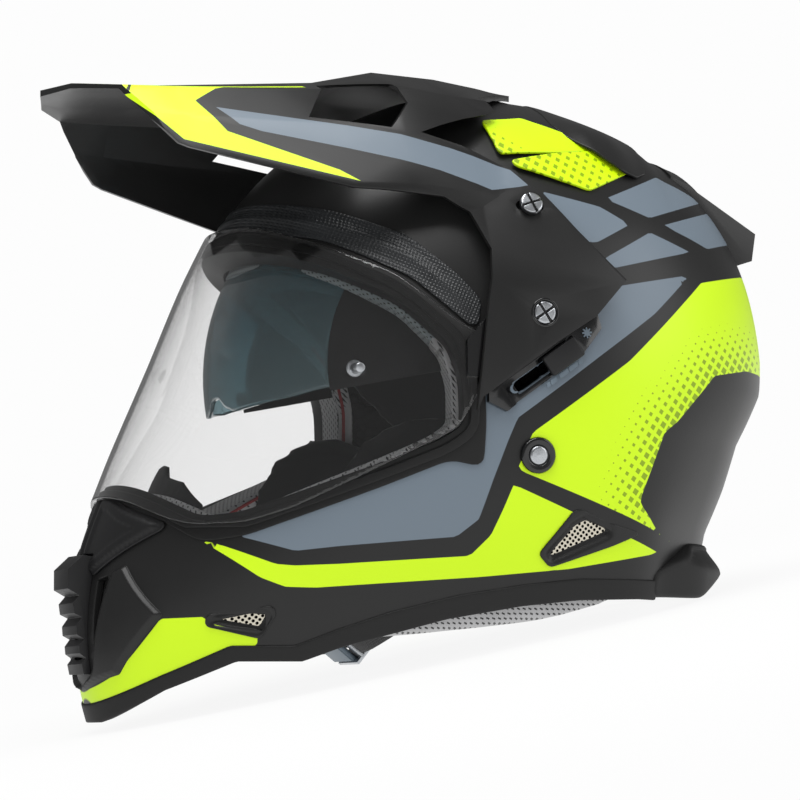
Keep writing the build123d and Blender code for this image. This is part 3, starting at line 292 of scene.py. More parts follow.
def front_distance(points, outline):
    """Distance in the front view, the same on the left and on the right."""
    return distance(np.column_stack([np.abs(points[:, 0]), points[:, 2]]), outline)


# %% A skin of triangles
# The highest and lowest level of a skin, the length of its longest ring and of its side
# from crown to neck for each millimetre of height
SKIN_TOP, SKIN_LOW, GIRTH, SIDE_SLOPE = 155.9, -187, 960, 1.25
FULL_TURN = (0, 2 * math.pi)


def grid_faces(rows, columns, closed):
    """Triangles of a grid of points, closed round its columns or open."""
    r, c = np.meshgrid(np.arange(rows - 1), np.arange(columns if closed else columns - 1), indexing="ij")
    a, b = r * columns + c, r * columns + (c + 1) % columns
    d, e = a + columns, b + columns
    return np.concatenate([np.stack([a, b, d], -1).reshape(-1, 3), np.stack([b, e, d], -1).reshape(-1, 3)])


def skin(top, bottom, spacing=2.2, turns=FULL_TURN):
    """Points, normals and triangles of the shell between two heights in millimetres."""
    first, last = place_at(top * MM), place_at(bottom * MM)
    rows = max(int((top - bottom) * SIDE_SLOPE / spacing), 8)
    closed = turns == FULL_TURN
    columns = int((turns[1] - turns[0]) / (2 * math.pi) * GIRTH / spacing)
    turn = np.linspace(turns[0], turns[1], columns, endpoint=not closed)
    place, turn = np.meshgrid(np.linspace(first, last, rows), turn, indexing="ij")
    points, normals = surface(place, turn), outward(place, turn)
    return points.reshape(-1, 3), normals.reshape(-1, 3), grid_faces(rows, columns, closed)


# %% Trimming a skin
def trim(points, normals, faces, value):
    """Keeps the part of a skin where the value is positive. A triangle that crosses zero
    is cut on the straight line between the zero points of its two crossed edges."""
    inside = value[faces] > 0
    count = inside.sum(1)
    total = len(points)
    cuts = []
    for wanted, lone in ((1, True), (2, False)):
        chosen = faces[count == wanted]
        first = np.argmax(inside[count == wanted] == lone, axis=1)
        cuts.append(np.take_along_axis(chosen, (first[:, None] + np.arange(3)) % 3, axis=1))
    pairs = np.concatenate([cuts[0][:, [0, 1]], cuts[0][:, [0, 2]], cuts[1][:, [0, 1]], cuts[1][:, [0, 2]]])
    keys, index = np.unique(np.sort(pairs, axis=1), axis=0, return_inverse=True)
    index = index.reshape(-1) + total
    low, high = value[keys[:, 0]], value[keys[:, 1]]
    share = np.clip(low / (low - high), 0.001, 0.999)[:, None]
    new_points = points[keys[:, 0]] * (1 - share) + points[keys[:, 1]] * share
    new_normals = normals[keys[:, 0]] * (1 - share) + normals[keys[:, 1]] * share
    one, two = len(cuts[0]), len(cuts[1])
    a, b = index[:one], index[one:2 * one]
    c, d = index[2 * one:2 * one + two], index[2 * one + two:]
    faces = np.concatenate([faces[count == 3], np.column_stack([cuts[0][:, 0], a, b]),
                            np.column_stack([cuts[1][:, 1], cuts[1][:, 2], c]),
                            np.column_stack([cuts[1][:, 2], d, c])])
    points = np.concatenate([points, new_points])
    normals = np.concatenate([normals, new_normals])
    used, renamed = np.unique(faces, return_inverse=True)
    normals = normals[used] / np.linalg.norm(normals[used], axis=1, keepdims=True)
    return points[used], normals, renamed.reshape(-1, 3)


# %% A wall with an eased rim
def open_runs(faces):
    """The directed edges that no neighbour shares: the rim of a sheet."""
    directed = np.concatenate([faces[:, [0, 1]], faces[:, [1, 2]], faces[:, [2, 0]]])
    total = faces.max() + 1
    forward = directed[:, 0] * total + directed[:, 1]
    return directed[~np.isin(forward, directed[:, 1] * total + directed[:, 0])]


def wall(points, normals, faces, thickness, edge=0.5 * MM):
    """Gives a skin its thickness inwards. The rim leaves the outer skin on a quarter
    circle of the edge radius, runs down, and meets the inner skin on another."""
    edge = min(edge, thickness * 0.45)
    rim, total = open_runs(faces), len(points)
    away = np.cross(points[rim[:, 1]] - points[rim[:, 0]], normals[rim[:, 0]])
    away /= np.maximum(np.linalg.norm(away, axis=1, keepdims=True), 1e-12)
    spread = np.zeros_like(points)
    np.add.at(spread, rim[:, 0], away)
    np.add.at(spread, rim[:, 1], away)
    ring = np.unique(rim)
    out = spread[ring] / np.maximum(np.linalg.norm(spread[ring], axis=1, keepdims=True), 1e-12)
    place = np.full(total, -1)
    place[ring] = np.arange(len(ring))
    bends = [(edge * math.sin(a), edge * (1 - math.cos(a))) for a in (math.pi / 6, math.pi / 3, math.pi / 2)]
    bends += [(reach, thickness - depth) for reach, depth in bends[::-1]]
    rings = [points[ring] + out * reach - normals[ring] * depth for reach, depth in bends]
    everything = np.concatenate([points, points - normals * thickness] + rings)
    ids = [ring] + [2 * total + step * len(ring) + np.arange(len(ring)) for step in range(len(bends))] + [ring + total]
    parts = [faces, faces[:, ::-1] + total]
    start, end = place[rim[:, 0]], place[rim[:, 1]]
    for upper, lower in zip(ids[:-1], ids[1:]):
        a, b, c, d = upper[start], upper[end], lower[start], lower[end]
        parts += [np.column_stack([b, a, c]), np.column_stack([b, c, d])]
    return everything, np.concatenate(parts)


# %% From arrays to an object
def volume_of(points, faces):
    """Signed volume: each face is a fan of triangles, and each triangle with the origin is
    a sixth of the product of its corners. It is negative on a shape that is inside out."""
    faces = np.asarray(faces)
    return sum(np.einsum("ij,ij->", points[faces[:, 0]], np.cross(points[faces[:, k]], points[faces[:, k + 1]]))
               for k in range(1, faces.shape[1] - 1)) / 6


def make(name, points, faces, material, body="helmet", stands_for=(), slot=None):
    """Puts worn points into a mesh in the standing attitude and fastens it to its body."""
    mesh = bpy.data.meshes.new(name)
    mesh.from_pydata(stand(points), [], faces)
    mesh.polygons.foreach_set("use_smooth", np.ones(len(mesh.polygons), bool))
    mesh.update()
    obj = bpy.data.objects.new(name, mesh)
    bpy.context.scene.collection.objects.link(obj)
    mesh.materials.append(material)
    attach(obj, body)
    if stands_for:
        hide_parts(*stands_for)
    print(name, len(mesh.polygons), "faces, volume", round(volume_of(points, faces) / MM ** 3 / 1000, 2), "cm3")
    return obj


def mark(obj, name, values):
    """Keeps one number per point on the mesh, for a material to read."""
    layer = obj.data.attributes.new(name, "FLOAT", "POINT")
    layer.data.foreach_set("value", np.asarray(values, np.float32))


# %% Patches of the skin
MARGIN = 6


def patch(name, outline, lift, thickness, material, height=None, turns=FULL_TURN, spacing=2.2, edge=0.5 * MM,
          minus=(), **where):
    """A piece that hugs the shell: the skin inside a side-view outline, lifted and walled."""
    drawn = np.asarray(outline, float)
    top, bottom = height or (min(drawn[:, 1].max() + MARGIN, SKIN_TOP), max(drawn[:, 1].min() - MARGIN, SKIN_LOW))
    points, normals, faces = skin(top, bottom, spacing, turns)
    points, normals, faces = trim(points, normals, faces, side_distance(points, outline))
    for hole in minus:
        points, normals, faces = trim(points, normals, faces, -hole(points))
    points, faces = wall(points + normals * lift * MM, normals, faces, thickness * MM, edge)
    return make(name, points, faces, material, **where)


def lifted_patch(name, outline, lift_of, thickness, finish, height, rounding=2.0, spacing=1.6, edge=0.5, keep=None,
                 view=side_distance, **where):
    """A patch whose lift over the shell is a function of where it is, in millimetres."""
    line = rounded(outline, rounding)
    points, normals, faces = skin(*height, spacing)
    points, normals, faces = trim(points, normals, faces, view(points, line))
    if keep is not None:
        points, normals, faces = trim(points, normals, faces, keep(points))
    lifts = lift_of(points / MM)
    points, faces = wall(points + normals * lifts[:, None] * MM, normals, faces, thickness * MM, edge * MM)
    return make(name, points, faces, finish, **where), points

# %% [markdown]
# ## The drawn lines
# Side-view lines are pairs (y, z) in millimetres, y back from the ears and z up.
# Front-view lines are pairs (x, z) of one half. Both are drawn as worn. Straight runs and
# a few corners are enough, because each line is rounded where it is used.

# %% The eye opening and the rubber round it
EYEPORT = [(-205, 66), (-96, 72), (-70, 62), (-36, 43), (-12, 20), (-6, 2), (-5, -22), (-16, -30), (-48, -43),
           (-108, -66), (-126, -68), (-138, -60), (-150, -51), (-163, -46), (-205, -46)]
FRAME = [(-205, 72.5), (-96, 78.5), (-66, 69), (-31, 49.5), (-5, 26), (2, 4), (3, -20), (2, -41), (-14, -37.5),
         (-47, -51), (-108, -74.5), (-126, -77), (-139, -67), (-151, -57.5), (-163, -51.5), (-205, -51.5)]
SHIELD = [(-205, 81), (-92, 80), (-74, 70), (-38, 52), (-10, 28), (2, 22), (2, 2), (-4, -9), (-11, -22), (-86, -61),
          (-107, -68), (-128, -69), (-139, -65), (-150, -56.5), (-163, -49.5), (-205, -49.5)]
BROW = [(-125, 86), (-92, 96), (-60, 86), (-30, 72), (-8, 52), (2, 40), (0, 28), (-4, 28), (-30, 51.5), (-65, 71),
        (-96, 80.5), (-125, 78)]

# %% The lower edge and the rear lip
NECK_SEAM = [(-230, -160), (-165, -157), (-140, -143), (-111, -128.5), (-82, -128.5), (-62, -120.3), (-38, -112),
             (-6, -104), (28, -98.5), (56, -95.5), (100, -95.3), (230, -93)]
NECK_LOW = [(230, -101), (105, -103.5), (90, -103.3), (56, -104.3), (26, -107.5), (-11, -114), (-60, -127.5),
            (-78, -134.5), (-108, -134.5), (-138, -148.5), (-160, -164), (-230, -168)]
LIP = [(101, -93), (116, -84), (126, -77.5), (176, -76), (176, -80.5), (156, -82.5), (139, -89.5), (126, -98),
       (101, -101)]

# %% Scoops and vents
SCOOP_UPPER = [(20, 134), (44, 139), (71, 128), (76, 122), (22, 115)]
SCOOP_LOWER = [(27, 111), (56, 117.5), (78, 121), (98, 113), (66, 98.5), (29, 108.5)]
CHIN_VENT = [(-122, -117), (-120.5, -112.5), (-96, -111.5), (-96, -121)]
CHIN_VENT_RIM = [(-122.5, -113.2), (-94, -108.8), (-92, -112.4), (-98.3, -124), (-122.5, -118)]
CHIN_VENT_STEEL = [(-118.5, -115.4), (-103.7, -112.2), (-96.2, -112.8), (-98.9, -119.2)]
REAR_VENT = [(34, -80), (38.5, -87.5), (75, -73.5), (69, -70), (51, -62.5)]
REAR_VENT_RIM = [(33, -83), (39, -89), (72, -78), (87, -72), (70, -68), (54, -61.5), (50, -62)]
REAR_VENT_STEEL = [(38.8, -83.2), (51, -69.2), (57, -66), (68.6, -69.9), (68.6, -72), (40.5, -84.2)]

# %% The chin, in the front view
CHIN_FRONT = -100
CHIN_COVER = [(0, -52.5), (16, -54), (30, -59.5), (58, -68), (57, -71), (18, -92), (15.9, -91), (15.9, -81.6),
              (0, -81.6)]
CHIN_PANEL = [(34, -91), (41, -88), (59, -112.5), (35, -141), (4, -149), (4, -146), (15.7, -141.4), (20, -137)]
MOUTH = [(0, -88), (13, -88), (12, -138), (0, -138)]
SLOT = [(21, -94), (32, -91.5), (20, -130)]

# %% Hinge, fasteners and the visor's slider on the left side
HINGE, TOP_SCREW, RIVET = (30.6, 33.8), (28.7, 84.2), (29.8, -35.2)
TRACK_ANGLE, KNOB, TRAVEL, STEM = math.radians(35), (41.0, 13.0), 24.0, (8.0, 6.0)


def on_track(along, across):
    """A side-view point from its place along and across the slider's track."""
    c, s = math.cos(TRACK_ANGLE), math.sin(TRACK_ANGLE)
    return (KNOB[0] + along * c - across * s, KNOB[1] + along * s + across * c)


print("lines: the eye opening spans", max(z for y, z in EYEPORT) - min(z for y, z in EYEPORT), "mm")

# %% [markdown]
# ## Materials
# Each finish is named for what the real piece is made of. Photographs could be wrapped
# round the pieces, but patterns worked out from a real size stay sharp at any distance.
# Colours are sRGB hex values that one function turns to linear.

# %% Colours and one function for nodes
def colour(hex_value, alpha=1.0):
    """An sRGB hex value as linear light: below 0.04045 a straight line, above it a power."""
    channels = np.array([int(hex_value[i:i + 2], 16) for i in (0, 2, 4)]) / 255
    linear = np.where(channels <= 0.04045, channels / 12.92, ((channels + 0.055) / 1.055) ** 2.4)
    return (*linear, alpha)


def add(tree, kind, settings=None, **inputs):
    """Adds a node, sets its properties and fills its inputs with values or links. An input
    is named with _ for a space, or is i and its number."""
    node = tree.nodes.new("ShaderNode" + kind)
    for name, value in (settings or {}).items():
        setattr(node, name, value)
    for name, value in inputs.items():
        key = int(name[1:]) if name[1:].isdigit() else name.replace("_", " ")
        socket = node.inputs[key]
        if isinstance(value, bpy.types.NodeSocket):
            tree.links.new(value, socket)
        else:
            socket.default_value = value
    return node


def material(name, **inputs):
    """A principled material with constant inputs, and its tree and shader to build on."""
    made = bpy.data.materials.new(name)
    made.use_nodes = True
    tree = made.node_tree
    shader = tree.nodes["Principled BSDF"]
    for key, value in inputs.items():
        shader.inputs[key.replace("_", " ")].default_value = value
    return made, tree, shader


# %% Masks, grain and bumps
NOISE_PER_BUMP, MOULD_GRAIN_MM = 0.6, 0.7


def object_point(tree):
    """The place on the piece, in metres: the piece sits at the origin, so this is also
    its place in the helmet."""
    return add(tree, "TexCoord").outputs["Object"]


def bump(tree, shader, height, depth_mm):
    """Lets a height between 0 and 1 stand out by a depth in millimetres."""
    node = add(tree, "Bump", Strength=1.0, Distance=depth_mm * MM, Height=height)
    tree.links.new(node.outputs["Normal"], shader.inputs["Normal"])


def grain(tree, size_mm, detail=3.0):
    """Fine noise whose bumps are about a size across, read in object space."""
    node = add(tree, "TexNoise", Vector=object_point(tree), Scale=NOISE_PER_BUMP / (size_mm * MM), Detail=detail,
               Roughness=0.5)
    return node.outputs["Fac"]


def blend_colours(tree, mask, low, high):
    """The low colour where the mask is 0 and the high one where it is 1."""
    return add(tree, "Mix", {"data_type": "RGBA"}, i0=mask, i6=low, i7=high).outputs[2]


def mask_of(tree, attribute, edge_mm=0.25):
    """Paint mask: the kept distance to a drawn line, sharp to a fraction of a millimetre."""
    read = add(tree, "Attribute", {"attribute_name": attribute})
    edge = add(tree, "MapRange", Value=read.outputs["Fac"], From_Min=-edge_mm * MM / 2, From_Max=edge_mm * MM / 2)
    return edge.outputs["Result"]


def vary(tree, shader, hex_low, hex_high, size_mm, rough=(0.4, 0.5)):
    """Slight drift of colour and gloss across a piece, as on any moulded part."""
    cloud = grain(tree, size_mm, detail=2.0)
    tree.links.new(blend_colours(tree, cloud, colour(hex_low), colour(hex_high)), shader.inputs["Base Color"])
    gloss = add(tree, "MapRange", Value=cloud, To_Min=rough[0], To_Max=rough[1])
    tree.links.new(gloss.outputs["Result"], shader.inputs["Roughness"])


# %% Plastics and rubber
def spark_eroded(name, hex_low, hex_high, rough=(0.42, 0.55), depth=0.05):
    """Moulded from a spark-eroded tool: a fine even grain that breaks up the shine. The
    grain is drawn coarser than it is, so that it shows."""
    made, tree, shader = material(name, IOR=1.5, Specular_IOR_Level=0.4)
    vary(tree, shader, hex_low, hex_high, 30, rough)
    bump(tree, shader, grain(tree, MOULD_GRAIN_MM), depth)
    return made


# Textured ABS is a flat black with a broad, weak shine. Rubber is duller still, and the
# grey ABS of a lever or a printed sign is a little smoother
textured_abs = spark_eroded("textured_black_abs", "141415", "1a1a1b")
soft_rubber = spark_eroded("moulded_epdm_rubber", "101010", "161616", rough=(0.5, 0.65), depth=0.03)
grey_abs = spark_eroded("grey_abs", "5d6a75", "6b7883", rough=(0.35, 0.45), depth=0.03)

# Polished ABS mirrors the lamps in a clean, narrow glint
gloss_abs, tree, shader = material("polished_black_abs", IOR=1.5, Coat_Weight=0.4, Coat_Roughness=0.06)
vary(tree, shader, "0c0c0d", "131415", 40, (0.18, 0.26))

# %% Metal
SCRATCH_MM, NOISE_PER_SCRATCH, SCRATCH_STRETCH = 0.3, 0.4, 6


def brushed(name, hex_low, hex_high, rough):
    """Turned or brushed metal: fine scratches, a sixth as wide as long, shift its gloss."""
    made, tree, shader = material(name, Metallic=1.0)
    stretched = add(tree, "Mapping", Vector=object_point(tree), Scale=(SCRATCH_STRETCH, 1, 1))
    noise = add(tree, "TexNoise", Vector=stretched.outputs["Vector"], Scale=NOISE_PER_SCRATCH / (SCRATCH_MM * MM),
                Detail=2.0)
    tone = blend_colours(tree, noise.outputs["Fac"], colour(hex_low), colour(hex_high))
    tree.links.new(tone, shader.inputs["Base Color"])
    gloss = add(tree, "MapRange", Value=noise.outputs["Fac"], To_Min=rough[0], To_Max=rough[1])
    tree.links.new(gloss.outputs["Result"], shader.inputs["Roughness"])
    return made


# Zinc plating on turned steel has a bright, slightly cloudy shine
zinc_steel = brushed("zinc_plated_steel", "a9adb2", "d3d6d9", (0.22, 0.4))
print("materials:", len(bpy.data.materials))

# %% [markdown]
# ## The outer shell
# The real shell is injection moulded in one piece, with its openings in the mould, and
# then painted. One skin with real openings is the same thing: holes painted black would
# look flat from the side and would hide the liner.

# %% Cuts of the shell
SHELL_LOW, SHELL_SPACING, SHELL_WALL, SHELL_EDGE = -170, 2.7, 4.0, 0.6
FAR_ABOVE, TRACK_PLAY = 320, 0.4


def closed_above(line):
    """Closes an open line high above the helmet, so that its inside is all above it."""
    return line + [(line[-1][0], FAR_ABOVE), (line[0][0], FAR_ABOVE)]


def track_outline():
    """The slider's straight slot on the left side, in the side view."""
    low, high = -TRAVEL - STEM[0] / 2 - TRACK_PLAY, STEM[0] / 2 + TRACK_PLAY
    side = STEM[1] / 2 + TRACK_PLAY
    return [on_track(along, across) for along, across in ((low, -side), (high, -side), (high, side), (low, side))]


def ahead_only(value, points):
    """Limits a front-view cut to the front of the helmet."""
    return np.where(points[:, 1] < CHIN_FRONT * MM, value, -1.0)


def left_only(value, points):
    """Limits a side-view cut to the left side."""
    return np.where(points[:, 0] > 0, value, -1.0)


# %% Cut the skin
points, normals, faces = skin(SKIN_TOP, SHELL_LOW, SHELL_SPACING)
points, normals, faces = trim(points, normals, faces, side_distance(points, closed_above(NECK_SEAM)))
points, normals, faces = trim(points, normals, faces, -side_distance(points, rounded(EYEPORT, 6)))
for line in (MOUTH, SLOT):
    points, normals, faces = trim(points, normals, faces, -ahead_only(front_distance(points, line), points))
for line in (CHIN_VENT, REAR_VENT):
    points, normals, faces = trim(points, normals, faces, -side_distance(points, rounded(line, 1.5)))
points, normals, faces = trim(points, normals, faces, -left_only(side_distance(points, track_outline()), points))
shell_points, shell_faces = wall(points, normals, faces, SHELL_WALL * MM, SHELL_EDGE * MM)
print("shell skin:", len(points), "points outside,", len(shell_faces), "triangles")

# %% [markdown]
# ## Paint
# A painter masks the shell with tape and sprays grey and fluorescent yellow over matte
# black, all under one satin lacquer. A picture of the pattern would blur when seen near,
# so each shape is a drawn line, and the shell keeps every point's distance to it.

# %% The shell's painted shapes
GREY_SHAPES = [
    [(74.5, 94.9), (113.4, 110.8), (145.8, 101.1), (99.3, 86.5)],
    [(39.5, 97.1), (70.7, 90.4), (86.1, 82), (66, 71.7), (60.1, 71.2)],
    [(107.3, 83.3), (150.2, 96), (161.1, 79.9), (135.7, 73.5)],
    [(67, 62.5), (97.6, 78.7), (122.1, 70.3), (72.9, 58.6)],
    [(119.4, 58.1), (95, 36.6), (63.5, 14.6), (19.4, -17.2), (14.7, -28.2), (7.9, -46.5), (1.2, -66.6),
     (-9.5, -75.1), (-64.7, -79.8), (-85, -82.1), (-108.8, -75.1), (-108, -60), (-47, -40), (-12, -25),
     (0, 0), (30, 20), (60, 40), (74.9, 49.6)],
]
YELLOW_SHAPES = [
    [(126.8, 54.7), (164.6, 62.5), (240, 66), (240, 11), (157.6, 12.4), (132.3, 7.9), (108.6, -16.1), (100.4, -21.9),
     (87.4, -53.2), (86.8, -57.2), (100.5, -71.8), (119, -78.2), (19.7, -42.3), (27.2, -24.2), (79.3, 12.4),
     (112.7, 42.4)],
    [(18.0, -49.6), (51.2, -63.2), (33.7, -81.2), (34.2, -84.8), (39.2, -87.9), (80.0, -73.7), (101.5, -81.2),
     (48.8, -90.1), (3.3, -94.4), (-74.8, -99.8), (-88.7, -99.4), (-100.1, -94.8), (-125.4, -77.0), (-120.2, -77.9),
     (-93.5, -88.4), (-84.8, -89.2), (-64.5, -88.4), (-2.2, -84.3), (2.2, -79.8), (7.7, -74.2), (13.4, -61.2)],
    [(-141.7, -114.5), (-121.6, -113.7), (-122, -116.6), (-98.9, -123), (-99.6, -128), (-109.1, -128.4),
     (-163, -157.2), (-166.6, -149.6), (-157.6, -141.1)],
]
PANEL_EDGE = [(157.6, 12.4), (132.3, 7.9), (108.6, -16.1), (100.4, -21.9), (87.4, -53.2)]
HALFTONE_REACH, TAPE_RADIUS = 27, 1.0


def nearest_run(points, line):
    """Distance in the side view, in millimetres, to the nearest run of an open line."""
    seen = points[:, 1:] / MM
    best = np.full(len(points), np.inf)
    for start, end in zip(np.array(line[:-1], float), np.array(line[1:], float)):
        run = end - start
        share = np.clip(((seen - start) @ run) / (run @ run), 0, 1)
        best = np.minimum(best, np.linalg.norm(seen - start - share[:, None] * run, axis=1))
    return best


def paint_marks(obj, at):
    """Keeps the distances to the grey and the yellow shapes, inside positive, and the size
    of the printed diamonds: 1 at the rear panel's edge, and 0 a reach away from it."""
    for name, shapes in (("grey", GREY_SHAPES), ("yellow", YELLOW_SHAPES)):
        mark(obj, name, np.max([side_distance(at, rounded(line, TAPE_RADIUS)) for line in shapes], axis=0))
    mark(obj, "halftone", np.clip(1 - nearest_run(at, PANEL_EDGE) / HALFTONE_REACH, 0, 1))


print("paint:", len(GREY_SHAPES), "grey and", len(YELLOW_SHAPES), "yellow shapes")

# %% A printed lattice of diamonds
DIAMOND_PITCH, DIAMOND_SHARE = 6.5, 0.36


def diamonds(tree, size):
    """A lattice of upright diamonds: the greater of |u| and |v| from each cell's middle,
    along y + z and y - z, under a share of the size."""
    place = add(tree, "SeparateXYZ", Vector=object_point(tree))
    offsets = []
    for kind in ("ADD", "SUBTRACT"):
        part = add(tree, "Math", {"operation": kind}, i0=place.outputs["Y"], i1=place.outputs["Z"])
        cell = add(tree, "Math", {"operation": "MULTIPLY"}, i0=part.outputs[0], i1=1 / (DIAMOND_PITCH * MM))
        inside = add(tree, "Math", {"operation": "FRACT"}, i0=cell.outputs[0])
        centred = add(tree, "Math", {"operation": "SUBTRACT"}, i0=inside.outputs[0], i1=0.5)
        offsets.append(add(tree, "Math", {"operation": "ABSOLUTE"}, i0=centred.outputs[0]).outputs[0])
    reach = add(tree, "Math", {"operation": "MAXIMUM"}, i0=offsets[0], i1=offsets[1])
    radius = add(tree, "Math", {"operation": "MULTIPLY"}, i0=size, i1=DIAMOND_SHARE)
    return add(tree, "Math", {"operation": "LESS_THAN"}, i0=reach.outputs[0], i1=radius.outputs[0]).outputs[0]


# %% The satin lacquer
BLACK, GREY, YELLOW, YELLOW_SHADE = "171717", "68747f", "c9f000", "86a400"
CLOUD_MM, ORANGE_PEEL_MM = 25, 0.9


def lacquer(name, base, second=None, top=None):
    """Satin lacquer: a plain coat, or three colours divided by the kept paint lines. It
    scatters the lamps into a soft sheen, with the faint orange peel of a sprayed coat."""
    made, tree, shader = material(name, IOR=1.5, Specular_IOR_Level=0.35, Coat_Weight=0.1, Coat_Roughness=0.32)
    tone = colour(base)
    if second:
        size = add(tree, "Attribute", {"attribute_name": "halftone"}).outputs["Fac"]
        printed = blend_colours(tree, diamonds(tree, size), colour(top), colour(YELLOW_SHADE))
        tone = blend_colours(tree, mask_of(tree, "grey"), tone, colour(second))
        tone = blend_colours(tree, mask_of(tree, "yellow"), tone, printed)
    cloud = grain(tree, CLOUD_MM, detail=2.0)
    drift = add(tree, "MapRange", Value=cloud, To_Min=0.0, To_Max=0.005)
    tone = blend_colours(tree, drift.outputs["Result"], tone, colour("ffffff"))
    tree.links.new(tone, shader.inputs["Base Color"])
    gloss = add(tree, "MapRange", Value=cloud, To_Min=0.36, To_Max=0.44)
    tree.links.new(gloss.outputs["Result"], shader.inputs["Roughness"])
    bump(tree, shader, grain(tree, ORANGE_PEEL_MM), 0.02)
    return made


shell_lacquer = lacquer("satin_lacquer_on_moulded_abs", BLACK, GREY, YELLOW)
black_lacquer = lacquer("satin_black_lacquer", BLACK)
yellow_lacquer = lacquer("satin_yellow_lacquer", YELLOW)
grey_lacquer = lacquer("satin_grey_lacquer", GREY)

# %% Paint the shell
shell = make("shell_skin", shell_points, shell_faces, shell_lacquer, stands_for=["outer_shell"], slot="shell_paint")
paint_marks(shell, shell_points)

# %% [markdown]
# ## Easing the edges of a CAD piece
# A moulded piece has no razor edges. It could be modelled again, but its CAD solid is
# already right, so a copy of it is merged into one closed mesh, its flat facets are
# joined, and every real corner gets a small round that catches the light. The CAD node
# itself stays for the physics and is hidden.


# %% A softened copy of a node
def coordinates(mesh):
    """The points of a mesh as rows of x, y, z."""
    flat = np.empty(len(mesh.vertices) * 3)
    mesh.vertices.foreach_get("co", flat)
    return flat.reshape(-1, 3)


def draw_in(mesh):
    """Draws a copied mesh in at the nape, as the shell is."""
    mesh.vertices.foreach_set("co", stand(tucked(worn(coordinates(mesh)))).ravel())
    mesh.update()


def bevelled(obj, width_mm, angle=30):
    """Rounds the corners that are sharper than an angle."""
    rim = obj.modifiers.new("rounded_edges", "BEVEL")
    rim.limit_method, rim.angle_limit = "ANGLE", math.radians(angle)
    rim.width, rim.segments, rim.harden_normals = width_mm * MM, 3, True
    return obj


def eased(node, width_mm, finish, body="helmet", angle=28, name=None):
    """Copies a node, welds it, joins its coplanar facets and rounds its edges."""
    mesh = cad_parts[node].data.copy()
    tool = bmesh.new()
    tool.from_mesh(mesh)
    bmesh.ops.remove_doubles(tool, verts=tool.verts, dist=2e-6)
    bmesh.ops.dissolve_limit(tool, angle_limit=math.radians(1.0), verts=tool.verts, edges=tool.edges)
    tool.to_mesh(mesh)
    tool.free()
    draw_in(mesh)
    mesh.materials.clear()
    mesh.materials.append(finish)
    mesh.polygons.foreach_set("material_index", np.zeros(len(mesh.polygons), np.int32))
    mesh.polygons.foreach_set("use_smooth", np.ones(len(mesh.polygons), bool))
    obj = bpy.data.objects.new(name or node + "_eased", mesh)
    bpy.context.scene.collection.objects.link(obj)
    bevelled(obj, width_mm, angle)
    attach(obj, body)
    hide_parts(node)
    print(obj.name, len(mesh.polygons), "faces, edges rounded to", width_mm, "mm")
    return obj


# %% [markdown]
# ## Rubber and trim that hug the shell
# The frame of the eye opening, its inner gasket and the edge trim are rubber mouldings
# glued to the shell. They could be swept along a curve, but a swept strip twists where
# the shell bends. Here each one is a band of the shell's own surface between two lines.

# %% Bands round the eye opening
def eyeport_distance(points):
    """Distance to the eye opening's line: positive over the opening."""
    return side_distance(points, rounded(EYEPORT, 6))


def band(name, low, high, top, bottom, lift, thickness, finish, body="helmet", edge=0.5, **where):
    """The part of the skin whose distance to the eye opening lies between two values."""
    points, normals, faces = skin(top, bottom)
    for sign, limit in ((1, low), (-1, high)):
        points, normals, faces = trim(points, normals, faces, sign * (eyeport_distance(points) - limit * MM))
    points, faces = wall(points + normals * lift * MM, normals, faces, thickness * MM, edge * MM)
    return make(name, points, faces, finish, body, **where)


patch("eyeport_frame_face", rounded(FRAME, 6), 1.2, 1.05, soft_rubber, minus=[eyeport_distance],
      stands_for=["eyeport_frame"], slot="black_rubber")
band("eyeport_frame_flange", 0.15, 2.4, 82, -70, 1.15, 13, soft_rubber, slot="black_rubber")
band("eyeport_gasket_lip", -4.5, -1.0, 82, -70, 2.6, 1.3, soft_rubber, edge=0.6, stands_for=["eyeport_gasket"],
     slot="black_rubber")

# %% The rubber edge round the neck, which ends where the rear lip starts
LIP_START = 101.2
patch("neck_edge_rubber", NECK_SEAM + NECK_LOW, 1.0, 6.9, soft_rubber, height=(-88, -172), edge=0.9 * MM,
      spacing=2.6, minus=[lambda p: p[:, 1] - LIP_START * MM], stands_for=["neck_edge_trim"], slot="black_rubber")

# %% The rear lip, which flares out like the hem of a skirt
LIP_OUT, LIP_WALL, LIP_EDGE, LIP_SPACING = 12.0, 12.0, 2.4, 2.0
FLARE_FROM, FLARE_OVER, SWELL_FROM, SWELL_OVER, LIP_FLUSH = 74, 13, 100, 28, 0.12

points, normals, faces = skin(-70, -108, LIP_SPACING)
points, normals, faces = trim(points, normals, faces, side_distance(points, rounded(LIP, 3)))
fall = smooth((-points[:, 2] / MM - FLARE_FROM) / FLARE_OVER)
swell = smooth((points[:, 1] / MM - SWELL_FROM) / SWELL_OVER)
out = LIP_OUT * MM * (LIP_FLUSH + (1 - LIP_FLUSH) * fall * swell)
points, faces = wall(points + normals * out[:, None], normals, faces, LIP_WALL * MM, LIP_EDGE * MM)
make("rear_lip_flare", points, faces, soft_rubber, stands_for=["rear_lip"], slot="black_rubber")

# %% [markdown]
# ## The brow piece
# Above the eye opening sits a piece of ABS with a fine cross-hatched grip. A fingertip
# feels the hatching, so it is a bump, and the step along its lower edge is real shape.

